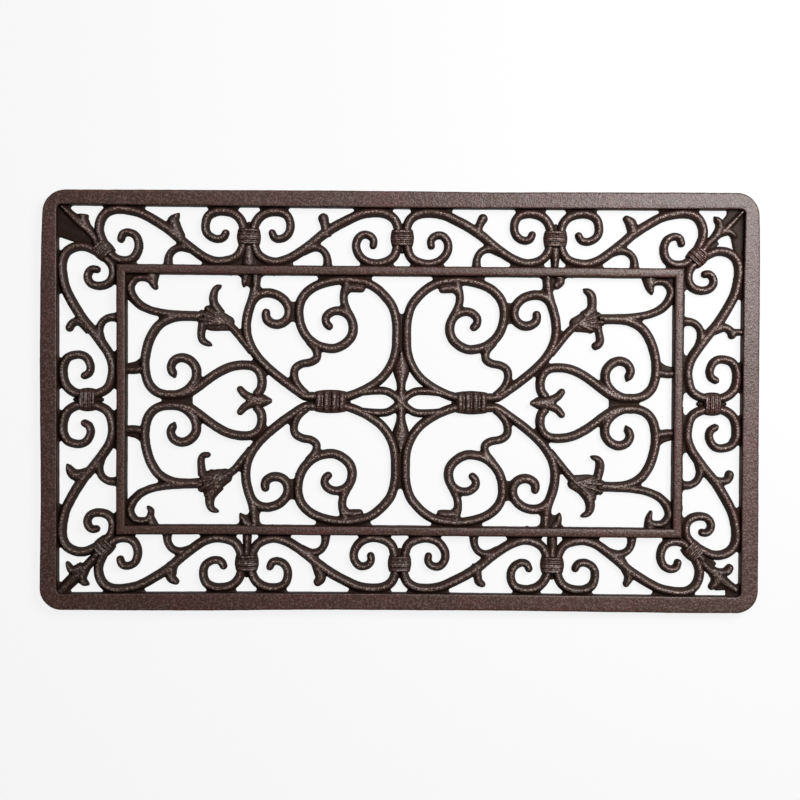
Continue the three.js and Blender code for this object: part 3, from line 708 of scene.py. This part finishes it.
middleScroll = {
    "body": [
        (23, 25), (25.5, 30), (31, 31), (37, 28), (40.5, 22.5), (40.8, 14.5), (37.5, 7.5), (31, 4.5),
        (23, 4), (14.5, 6.5), (8.3, 12), (4.8, 20), (4.5, 29), (5.8, 39.5), (10.3, 47.5), (18.5, 52.5),
        (28.5, 54), (40, 50.5), (50, 44.8), (62, 36), (72, 27.5), (85, 18.6), (99, 11.2), (111, 5.8),
        (123, 3.8), (134.5, 4.5), (143.7, 9.3), (148, 18), (148.2, 29), (147.3, 39), (144, 48),
        (136, 53.3), (125, 55), (114.5, 51.5), (107.7, 43), (107, 33.5), (112.5, 26.5), (120, 27),
        (124, 31.5), (123.5, 37),
    ],
    "arch": [(54, 42.6), (65, 39.3), (73.3, 41.9), (77.7, 49), (78.4, 59)],
    "rails": [[(1, -2), (151, -2)], [(1, 59.5), (151, 59.5)]],
}


# Every sprig was carved by itself: its middle line from root to tip, its widths on the way, its end
sprigs = {
    "long": {
        "top_left": (
            [(122.5, 31), (117.5, 22), (114.8, 14.5), (118.9, 8.7)], [1.3, 1.35, 1.75, 0.7], "point",
        ),
        "top_right": (
            [(111.5, 25), (112.8, 19.5), (114.2, 13.3), (119, 8.6)], [1.2, 1.3, 1.45, 0.9], "round",
        ),
        "bottom_left": (
            [(115.8, 28), (113.8, 21.5), (114.4, 14), (119.4, 10)], [1.4, 1.5, 1.3, 0.8], "round",
        ),
        "bottom_right": (
            [(122, 36), (115.5, 25.5), (112.2, 18), (115.2, 10.6)], [1.2, 1.2, 1.25, 0.8], "round",
        ),
    },
    "short": {
        "top_left": ([(122.5, 31), (114.8, 21), (115.7, 14), (120.7, 10.6)], [1.3, 1.1, 1, 1], "round"),
        "top_right": ([(118, 28), (115.3, 16.5), (119, 10.6), (123.2, 9.2)], [1.3, 1.05, 1, 1], "round"),
        "bottom_left": ([(119.5, 31), (116, 20), (118, 13.5), (124.5, 9.5)], [1.3, 1.5, 1.4, 0.7], "point"),
        "bottom_right": ([(115, 27), (114, 17), (116.5, 11.8), (121, 10.4)], [1.1, 0.95, 1, 1.1], "round"),
    },
    "middle": {
        "top_left": ([(77.5, 29), (75.5, 18), (73.8, 10)], [1.1, 1, 1.3], "round"),
        "top_right": ([(78, 27.5), (76, 16.5), (72.2, 9)], [1.1, 0.95, 1.2], "round"),
        "bottom_left": ([(67, 34), (72, 21), (74, 14), (71, 10)], [1.1, 1.1, 1.45, 1.1], "round"),
        "bottom_right": ([(75.5, 30), (74.3, 19.5), (73.3, 12), (69.3, 9)], [1.1, 0.95, 1.15, 0.8], "round"),
    },
}
bridge = {"quarter": "top_right", "points": [(120, 10), (120, -1)], "shares": [0.85]}  # runs into the rim


def borderBars(scroll, kind, quarter):
    body = scroll.get(kind + "Tip", []) + scroll["body"]
    bars = [
        barOf(body, curl, shares=bothCurlShares, start="round", finish="round"),
        carvedBar(sprigs[kind][quarter], sprig, webbed=False),
        barOf(scroll["arch"], arch),
    ]
    if kind == "short" and quarter == bridge["quarter"]:
        bars.append(barOf(bridge["points"], sprig, shares=bridge["shares"], webbed=False))
    return bars


for quarter, sides in quarters.items():
    for node, scroll, kind, paper in (
        ("long_side_scroll_", cornerScroll, "long", "longSide"),
        ("short_side_scroll_", cornerScroll, "short", "shortSide"),
        ("middle_scroll_", middleScroll, "middle", "middle"),
    ):
        bars = borderBars(scroll, kind, quarter)
        makePiece(node + quarter, bars, onPaper(paper, *sides), railHelpers(scroll))
print("border scrolls ready")

collar = {
    "bar": {
        "width": 22.8,
        "height": 11.8,
        "shares": [0.88, 1.02, 1.02, 0.88],
        "ribDepth": 0.3,
        "edgeShare": 0.6,
        "ridgePower": 3.0,
    },
    "length": 17.0,
    "axisLength": 31.0,
    "cornerWidth": 19.2,
    "ribs": 4,
    "voxel": 0.6,
    "smoothing": 2,
    "acrossShare": 0.51,
    "cornerSquares": 45.3,
    "axisSquares": 70.9,
    # The low iron in the fork where two scrolls run into a collar
    "throat": {"width": 9.0, "height": webs["height"], "shares": [0.3, 1, 1, 1, 0.3]},
    "throatLength": 30.0,
    "axisThroatLength": 40.0,
    "footWidth": 9.0,
    "footStops": (14.0, 6.0, 0.0),  # mm from the inner frame
    "footShares": {
        "top_left": [1, 1.1, 1.5, 1.7],
        "top_right": [1.2, 1.35, 1, 0.8],
        "bottom_left": [0.9, 0.85, 0.9, 1],
        "bottom_right": [1, 1.05, 1.1, 1.1],
    },
}
sill = {"quarter": "top_left", "length": 40.0, "width": 9.0, "sunk": 1.0}  # low iron under one foot


def straightBar(x, y, angle, length, kind, **others):
    # The middle of the bar lies at x, y
    way = towards(angle)
    spots = [(x + way.x * length * at, y + way.y * length * at) for at in (-0.5, -0.25, 0, 0.25, 0.5)]
    return barOf(spots, kind, **others)


def throatBar(x, y, angle, length=collar["throatLength"]):
    return straightBar(x, y, angle, length, collar["throat"])


def makeCollar(node, x, y, angle, extra=(), length=collar["length"], **others):
    bars = [straightBar(x, y, angle, length, collar["bar"], **others), *extra]
    makePiece(node, bars, strayed, pitch=length / collar["ribs"], fineness=collar)


collarY = rimInnerY - mat["borderWidth"] * collar["acrossShare"]
collarX = rimInnerX - mat["borderWidth"] * collar["acrossShare"]
axisX = panelX * collar["axisSquares"] / mat["panelSquares"][0]
upright = math.pi / 2
for word, side in (("top", 1), ("bottom", -1)):
    y = side * collarY
    makeCollar("middle_collar_" + word, 0, y, upright, [throatBar(0, y, upright)])
for word, side in (("right", 1), ("left", -1)):
    makeCollar("end_collar_" + word, side * collarX, 0, 0, [throatBar(side * collarX, 0, 0)])
    throat = throatBar(side * axisX, 0, 0, collar["axisThroatLength"])
    makeCollar("axis_collar_" + word, side * axisX, 0, 0, [throat], collar["axisLength"])
for quarter, (sideX, sideY) in quarters.items():
    x, y = sideX * sideCollarX, sideY * collarY
    foot = [(x, y), *((x, sideY * (frameOuterY + stop)) for stop in collar["footStops"])]
    extra = [
        barOf(foot, sprig, width=collar["footWidth"], shares=collar["footShares"][quarter]),
        throatBar(x, y, upright),
    ]
    if quarter == sill["quarter"]:
        sillY = sideY * (frameOuterY + sill["width"] / 2 - sill["sunk"])
        ends = [(x + along, sillY) for along in (-sill["length"] / 2, 0, sill["length"] / 2)]
        extra.append(barOf(ends, lowIron, width=sill["width"]))
    makeCollar("side_collar_" + quarter, x, y, upright, extra)
    x, y, _ = onPaper("corner", sideX, sideY)(collar["cornerSquares"], collar["cornerSquares"])
    makeCollar("corner_collar_" + quarter, x, y, math.atan2(sideY, sideX), width=collar["cornerWidth"])
print("collars ready")

fleuron = {
    "bead": {
        "points": [(42, 41), (38.5, 37.5)], "width": 9.5, "height": 10.6, "start": "round",
        "finish": "round", "webbed": False,
    },
    "leaf": {"height": 5.2, "edgeShare": 0.8},
    "rails": [[(-2, 42), (-2, -2)], [(-2, -2), (42, -2)]],
}
# Every corner was carved anew: stem and spike, petals, and the low leaves that fill the corner
corners = {
    "top_left": {
        "stem": ([(45.3, 45.3), (38, 35), (29, 24.5), (18.5, 15)], 1.0),
        "spike": ([(26, 22), (18.5, 15), (8, 5), (3, 1)], [1, 1.2, 1, 0.6], 9.0),
        "petals": [
            ([(40.5, 38), (33, 26.5), (27.5, 19), (24.5, 13), (24.5, 8.6)],
             [0.9, 0.85, 0.85, 0.95, 1.3], "flat"),
        ],
        "leaves": [
            ([(0, 10), (26, 24)], 20, [1]),
            ([(-1, 22), (24, 30)], 17, [1]),
            ([(14, 24), (36, 37)], 13, [1, 0.8]),
        ],
    },
    "top_right": {
        "stem": ([(45.3, 45.3), (39, 39), (34, 31.5), (21, 20.5)], 1.0),
        "spike": ([(23, 23), (17, 18), (6, 6.5), (1, 1)], [1, 0.95, 0.75, 0.5], 9.6),
        "petals": [
            ([(30, 29), (24.2, 19), (24, 12.5), (27, 8.9)], [1, 0.9, 1.1, 0.8], "point"),
            ([(22, 22), (14, 21), (8.5, 25.5)], [1, 0.85, 0.6], "point"),
        ],
        "leaves": [
            ([(2, 3), (16, 5)], 9, [1]),
            ([(12, 5), (20, 15)], 8, [1]),
            ([(36, 40), (24.5, 32)], 8, [1, 0.3]),
            ([(10, 14), (6, 26), (4.5, 38), (2.5, 54)], 14, [1, 0.85, 0.6, 0.3]),
        ],
    },
    "bottom_left": {
        "stem": ([(45.3, 45.3), (39.5, 37.5), (28, 26)], 1.2),
        "spike": ([(30, 27), (21.5, 19.5), (11, 10), (0, -1)], [1, 1.6, 1.55, 1.4], 7.6),
        "petals": [
            ([(24, 25.5), (14.4, 21.7), (10.9, 24.8), (8.7, 29.3)], [1.2, 1.1, 0.9, 0.4], "point"),
            ([(28, 26), (24.3, 16.5), (24.2, 11.2), (27.8, 9)], [1.1, 1.05, 1.05, 0.75], "point"),
        ],
        "leaves": [([(0, 0), (9, 8)], 10, [1])],
    },
    "bottom_right": {
        "stem": ([(45.3, 45.3), (40, 35.5), (27, 23)], 1.05),
        "spike": ([(27, 23), (20, 17.5), (10, 10.5), (2, 5.3)], [1.2, 1.5, 1.2, 1], 8.4),
        "petals": [
            ([(27, 26), (19, 23.3), (12.4, 24), (9.5, 27.6)], [0.8, 0.85, 1.05, 1], "round"),
            ([(25.5, 24), (23.6, 20), (23.6, 13), (27.6, 8.8)], [1.1, 1.05, 1.2, 0.85], "round"),
        ],
        "leaves": [
            ([(3, 2), (12, 6)], 8, [1]),
            ([(15, 9), (24, 8.5)], 7, [1]),
            ([(36, 40), (23.5, 31)], 8, [1, 0.3]),
        ],
    },
}


def fleuronBars(corner):
    stem, stemShare = corner["stem"]
    spike, spikeShares, spikeHeight = corner["spike"]
    bars = [
        barOf(stem, sprig, shares=[stemShare]),
        barOf(spike, sprig, height=spikeHeight, shares=spikeShares),
        fleuron["bead"],
    ]
    bars += [carvedBar(carving, petal) for carving in corner["petals"]]
    for points, width, shares in corner["leaves"]:
        bars.append(barOf(points, fleuron["leaf"], width=width, shares=shares))
    return bars


for quarter, sides in quarters.items():
    bars = fleuronBars(corners[quarter])
    makePiece("corner_fleuron_" + quarter, bars, onPaper("corner", *sides), railHelpers(fleuron))
print("fleurons ready")

ringScroll = {
    "body": [
        (70.9, 4.5), (55, 5), (40, 10.3), (29.5, 16), (18.7, 24.5), (10.5, 36), (5.8, 50), (4.9, 66),
        (5.4, 80), (9, 94), (16, 104), (26, 113), (38, 118.5), (57, 120.8), (73, 119), (88, 113.6),
        (98.2, 104.7), (102.8, 94), (102.8, 82), (99.8, 71.8), (94, 63), (85, 56), (75, 53), (66, 53),
        (57.5, 57), (51, 63.5), (48.5, 71.5), (50, 80.5), (55, 87), (62.5, 90), (70, 89), (75.7, 84),
        (75.7, 78), (72.5, 74.5),
    ],
    "zigzag": [
        (93, 60), (86, 51.5), (84.8, 43.5), (90.5, 39), (100, 37), (106.5, 32.5), (107.7, 25),
        (105, 17), (99.5, 10.5), (95, 7),
    ],
    "tendril": [(55.5, 117), (58, 108), (58, 99), (55, 91), (51, 84)],
    "bud": ([(57.5, 108), (53, 112.6), (47, 112.8), (40.5, 112)], [1, 1.1, 1.1, 0.9], "round"),
    "heartStretch": slice(12, 20),  # which points of its body face the heart
    "rails": [[(6, 126.5), (112, 126.5)], [(0, 30), (0, 60), (0, 89)]],
}
heartScroll = {
    "body": [
        (146, 127), (147, 112), (149.5, 101), (153.1, 90.5), (155.5, 79), (155.5, 67.5), (152, 55.5),
        (144.5, 43.5), (134.5, 33.2), (122, 22.8), (108.5, 13), (97, 5.5), (88, 4.8), (70.9, 4.5),
    ],
    "curl": [
        (151, 98), (144, 105), (134, 107.3), (123.5, 104.5), (116, 98), (113, 90), (114.5, 82.5),
        (120.5, 77.3), (128, 76.5), (134.5, 80), (136.3, 84.5), (135.8, 88),
    ],
    "thorns": {
        "top_left": ([(155.5, 127), (156.8, 120), (158, 115)], [1.25, 1, 0.6], "point"),
        "top_right": ([(156, 127), (159.5, 121), (155.5, 117)], [1.4, 1.2, 1.1], "round"),
        "bottom_left": ([(151, 126), (156, 121.5), (160, 115.5)], [1.4, 1.1, 0.6], "point"),
        "bottom_right": ([(154, 126), (158.5, 120), (160.4, 113)], [1.4, 1.1, 0.6], "point"),
    },
    "bellStretch": slice(9),  # which points of its body face the bell flower
    "rails": [[(125, 126.5), (175, 126.5)]],
}
cScroll = {
    "tendril": [
        (199, 84.5), (222, 85), (238, 86.3), (253, 89.8), (264, 96.3), (270.5, 105.3), (271.7, 113),
        (266, 120.3), (257, 121), (250.5, 118),
    ],
    "tendrilShares": [1, 1, 1, 1, 0.8],
    "body": [
        (203, 83), (214, 83.5), (229, 82), (241.5, 76), (249, 67), (254, 56), (257.3, 41), (257, 27),
        (253.3, 15.5), (245.5, 8), (235, 5.2), (223.5, 6), (214, 11), (207, 20), (206, 31), (211.5, 39),
        (220, 42.3), (228, 39.5), (231.5, 32.5), (229, 26),
    ],
    "arm": [
        (233, 5.4), (222, 5.4), (212.5, 8), (203.5, 13.8), (194, 21), (183, 28.3), (172, 33.3), (161, 35.3),
        (150, 34.5), (143, 29.5), (140, 21), (141, 12), (146, 5.5),
    ],
    "hooks": {
        "top_left": ([(250, 126), (249, 116.5), (246.7, 111.8)], [1.9, 1.3, 0.7], "round"),
        "top_right": ([(249.8, 127), (250, 117), (251.8, 111)], [2.2, 1.4, 0.7], "point"),
        "bottom_left": (
            [(249, 126), (251.5, 117), (250.5, 111.5), (253.5, 108)], [1.5, 0.95, 0.9, 0.45], "point",
        ),
        "bottom_right": ([(253, 127), (251.3, 117), (253.5, 109)], [1.5, 1, 0.4], "point"),
    },
    "link": {"points": [(277, 30.2), (268, 29.7), (256, 32)], "width": 8.2, "height": 8.2},
    # Low iron and its widths: beside the link, in the frame's corner, and where the curl nears the frame
    "lows": [
        ([(259, 39), (264.5, 35), (273, 32.5)], 8.2),
        ([(280, 128), (267, 117)], 13.0),
        ([(277, 107), (268.5, 98.5), (260, 91.8), (246, 88)], 6.4),
    ],
    "rails": [[(240, 126.5), (278, 126.5), (278, 60)], [(278, 60), (278, 5)], [(208, 0), (242, 0)]],
}


def ringBars():
    return [
        barOf(ringScroll["body"], curl, shares=oneCurlShares, finish="round"),
        barOf(ringScroll["zigzag"], sprig),
        barOf(ringScroll["tendril"], sprig),
        carvedBar(ringScroll["bud"], sprig),
    ]


def heartBars(quarter):
    return [
        barOf(heartScroll["body"], curl),
        barOf(heartScroll["curl"], curl, shares=oneCurlShares, finish="round"),
        carvedBar(heartScroll["thorns"][quarter], sprig),
    ]


def cScrollBars(quarter):
    return [
        barOf(cScroll["tendril"], sprig, shares=cScroll["tendrilShares"], finish="round"),
        barOf(cScroll["body"], curl, shares=oneCurlShares, finish="point"),
        barOf(cScroll["arm"], curl),
        cScroll["link"],
        *(barOf(points, lowIron, width=width) for points, width in cScroll["lows"]),
        carvedBar(cScroll["hooks"][quarter], sprig),
    ]


ringSide = helper(ringScroll["body"][ringScroll["heartStretch"]], webs["scrollWidth"])
heartSide = helper(heartScroll["body"], webs["scrollWidth"])
for quarter, sides in quarters.items():
    place = onPaper("panel", *sides)
    makePiece("ring_scroll_" + quarter, ringBars(), place, [*railHelpers(ringScroll), heartSide])
    makePiece("heart_scroll_" + quarter, heartBars(quarter), place, [*railHelpers(heartScroll), ringSide],
              webs["heartReach"])
    makePiece("c_scroll_" + quarter, cScrollBars(quarter), place, [*railHelpers(cScroll), heartSide])
print("panel scrolls ready")

bellFlower = {
    "cup": {"width": 22.5, "height": 7.4, "shares": [0.7, 1, 1], "start": "round", "edgeShare": 0.8},
    "cupStops": (0, 0.5, 0.9),  # how far its points lie on the way from the neck to the mouth
    "flute": {
        "width": 6.4, "height": 9.2, "shares": [0.8, 1, 1.1], "lift": [0.9, 1, 0.85],
        "finish": "round", "edgeShare": 0.5, "ridgePower": 1.3,
    },
    "petalWidth": 8.6,
    "stemEnd": [(167, 69.5), (157.8, 58.3), (150, 48.5)],
    "voxel": 0.7,
    "smoothing": 2,
}
# Where each bell's neck and the points of its mouth lie, and how its two petals curl
bells = {
    "top_left": {
        "neck": (175, 77),
        "mouth": [(194.5, 91), (200.5, 86.5), (202, 80.5), (199.5, 75.5)],
        "fold": (190.5, 75),
        "petals": [
            ([(182, 86), (188, 96), (188.7, 104), (186.5, 110.6), (182.7, 113.4)],
             [1.3, 1.1, 0.95, 0.9, 0.55], "point"),
            ([(199.5, 77), (201, 64), (198.5, 58.8), (192.3, 55.6)], [1, 0.85, 0.9, 0.55], "point"),
        ],
    },
    "top_right": {
        "neck": (176.5, 78.5),
        "mouth": [(193.5, 92), (198, 87), (202, 80.5), (199, 74.5)],
        "fold": (190.5, 72.8),
        "petals": [
            ([(184, 86), (191, 93), (191.9, 101.5), (190.3, 108), (185.4, 111.6)],
             [1.4, 1.1, 1.05, 1.1, 0.7], "point"),
            ([(197.5, 77), (200.2, 64), (199, 59), (195.8, 57)], [0.85, 0.85, 0.95, 0.95], "round"),
        ],
    },
    "bottom_left": {
        "neck": (177, 76.5),
        "mouth": [(198.5, 77), (203.5, 82), (200.5, 89), (194.5, 94.5)],
        "fold": (190.5, 73),
        "petals": [
            ([(183, 85), (190.5, 95), (191.8, 103), (189.7, 109), (184.5, 111.5)],
             [1.5, 1.35, 1.15, 0.9, 0.45], "point"),
            ([(199.5, 76), (200.9, 61), (198.7, 55.6), (194, 54.9)], [1, 0.85, 0.8, 0.65], "round"),
        ],
    },
    "bottom_right": {
        "neck": (176, 80),
        "mouth": [(198, 76.5), (203.5, 81), (201.5, 88.5), (194.5, 95)],
        "fold": (191.5, 75.5),
        "petals": [
            ([(183, 85), (190, 95), (191.8, 103.5), (189.7, 110.3), (184, 113.2)],
             [1.5, 1.35, 1.15, 0.95, 0.45], "point"),
            ([(198.5, 77), (201.2, 63), (199.2, 56.6), (193.6, 54.2)], [1, 1.1, 1, 0.5], "point"),
        ],
    },
}


def bellFlowerBars(bell):
    neckX, neckY = bell["neck"]
    lipX, lipY = [sum(spot[axis] for spot in bell["mouth"]) / len(bell["mouth"]) for axis in (0, 1)]
    cup = [(neckX + (lipX - neckX) * at, neckY + (lipY - neckY) * at) for at in bellFlower["cupStops"]]
    bars = [barOf(cup, bellFlower["cup"])]
    for mouthX, mouthY in [*bell["mouth"], bell["fold"]]:
        middle = ((neckX + mouthX) / 2, (neckY + mouthY) / 2)
        bars.append(barOf([bell["neck"], middle, (mouthX, mouthY)], bellFlower["flute"]))
    bars += [carvedBar(carving, petal, width=bellFlower["petalWidth"]) for carving in bell["petals"]]
    bars.append(barOf([bell["neck"], *bellFlower["stemEnd"]], sprig))
    return bars


trefoil = {
    "leaf": {
        "points": [(154, 0), (147, 0), (139, 0), (130, 0)], "width": 17.0, "height": 9.6,
        "shares": [0.55, 1, 0.75, 0.2],
    },
    "lobe": [(150, 3), (157, 6), (162, 11.5)],
    "lobeShares": [1, 0.95, 0.8],
}


def trefoilBars():
    bars = [trefoil["leaf"]]
    for side in (1, -1):
        lobe = [(x, side * y) for x, y in trefoil["lobe"]]
        bars.append(barOf(lobe, petal, shares=trefoil["lobeShares"], finish="round", webbed=True))
    return bars


centreCross = {
    "arm": {"width": 8.0, "height": 9.6, "shares": [0.5, 1, 1, 1, 1, 1, 1, 1, 0.5]},
    "halfArm": [(45, 7.4), (36, 9.8), (27, 11), (16, 10.8), (8, 7.3)],
    "spike": {
        "points": [(0, 51), (0, 34), (0, 17), (0, 0), (0, -17), (0, -34), (0, -51)], "width": 17.0,
        "height": 9.6, "shares": [0.1, 0.4, 1, 0.62, 0.52, 0.5, 0.55, 0.5, 0.52, 0.62, 1, 0.4, 0.1],
    },
}


def centreCrossBars():
    bars = []
    for side in (1, -1):
        half = [(x, side * y) for x, y in centreCross["halfArm"]]
        otherHalf = [(-x, -y) for x, y in reversed(half)]
        bars.append(barOf([*half, (0, 0), *otherHalf], centreCross["arm"]))
    return [*bars, centreCross["spike"]]


heartSide = helper(heartScroll["body"][heartScroll["bellStretch"]], webs["scrollWidth"])
for quarter, sides in quarters.items():
    makePiece("bell_flower_" + quarter, bellFlowerBars(bells[quarter]), onPaper("panel", *sides),
              [heartSide], fineness=bellFlower)
for word, side in (("left", -1), ("right", 1)):
    makePiece("trefoil_" + word, trefoilBars(), onPaper("panel", side, 1), [])
makePiece("centre_cross", centreCrossBars(), onPaper("panel", 1, 1), [])
print("flowers and leaves ready")

stage = {
    "floorHalf": 14.0,
    "floorDrop": 0.0006,
    "floorGlow": 0.86,
    "paper": "#e8e8e8",
    "worldColour": "#f4f4f4",
    "worldLight": 0.108,
    "backdropGlow": 0.8,  # the camera sees the world as pale as the floor
    "softboxes": {  # where it hangs, where it points, size and power
        "softboxRight": ((0.6, 0.4, 0.95), (0.2, 0.1, 0.0), 0.62, 14.4),
        "softboxAbove": ((-0.35, 1.2, 1.5), (0.0, 0.0, 0.0), 0.9, 3.4),
    },
    "camera": {"place": (-0.0006, 0.0014, 1.3), "roll": 0.3},
    "lens": {"lens": 58.2, "sensor_width": 36.0, "clip_start": 0.05, "clip_end": 60.0},
}


def makeStage():
    # A white paper sweep: it stays white to the camera and still shows the mat's soft shadow
    half, level = stage["floorHalf"], -stage["floorDrop"]
    spots = [(-half, -half, level), (half, -half, level), (half, half, level), (-half, half, level)]
    mesh = bpy.data.meshes.new("floor")
    mesh.from_pydata(spots, [], [(0, 1, 2, 3)])
    floor = addObject("floor", mesh)
    paper = emptyMaterial("matWhitePaper")
    tree = paper.node_tree
    rays = addNode(tree, "ShaderNodeLightPath")
    glow = rays["Is Camera Ray"]
    for operation, other in (
        ("MAXIMUM", rays["Is Glossy Ray"]),
        ("MAXIMUM", rays["Is Transmission Ray"]),
        ("MULTIPLY", stage["floorGlow"]),
    ):
        glow = addNode(tree, "ShaderNodeMath", {0: glow, 1: other}, operation=operation)[0]
    sheet = addNode(tree, "ShaderNodeBsdfDiffuse", {"Color": linearColour(stage["paper"])})[0]
    light = addNode(tree, "ShaderNodeEmission")[0]
    mixed = addNode(tree, "ShaderNodeMixShader", {0: glow, 1: sheet, 2: light})[0]
    addNode(tree, "ShaderNodeOutputMaterial", {"Surface": mixed})
    mesh.materials.append(paper)


makeStage()
for name, (place, target, size, power) in stage["softboxes"].items():
    data = withSettings(bpy.data.lights.new(name, "AREA"), shape="DISK", size=size, energy=power)
    lamp = addObject(name, data)
    lamp.location = place
    lamp.rotation_euler = (Vector(target) - Vector(place)).to_track_quat("-Z", "Y").to_euler()

world = bpy.data.worlds.new("studio")
bpy.context.scene.world = world
world.use_nodes = True
tree = world.node_tree
rays = addNode(tree, "ShaderNodeLightPath")
strength = addNode(tree, "ShaderNodeMath", {
    0: rays["Is Camera Ray"], 1: stage["backdropGlow"], 2: stage["worldLight"],
}, operation="MULTIPLY_ADD")[0]
backdrop = tree.nodes["Background"]
backdrop.inputs["Color"].default_value = linearColour(stage["worldColour"])
tree.links.new(strength, backdrop.inputs["Strength"])

camera = addObject("camera", withSettings(bpy.data.cameras.new("camera"), **stage["lens"]))
camera.location = stage["camera"]["place"]
camera.rotation_euler = (0.0, 0.0, math.radians(stage["camera"]["roll"]))
bpy.context.scene.camera = camera
bpy.context.scene.view_settings.view_transform = "Standard"
print("stage ready")
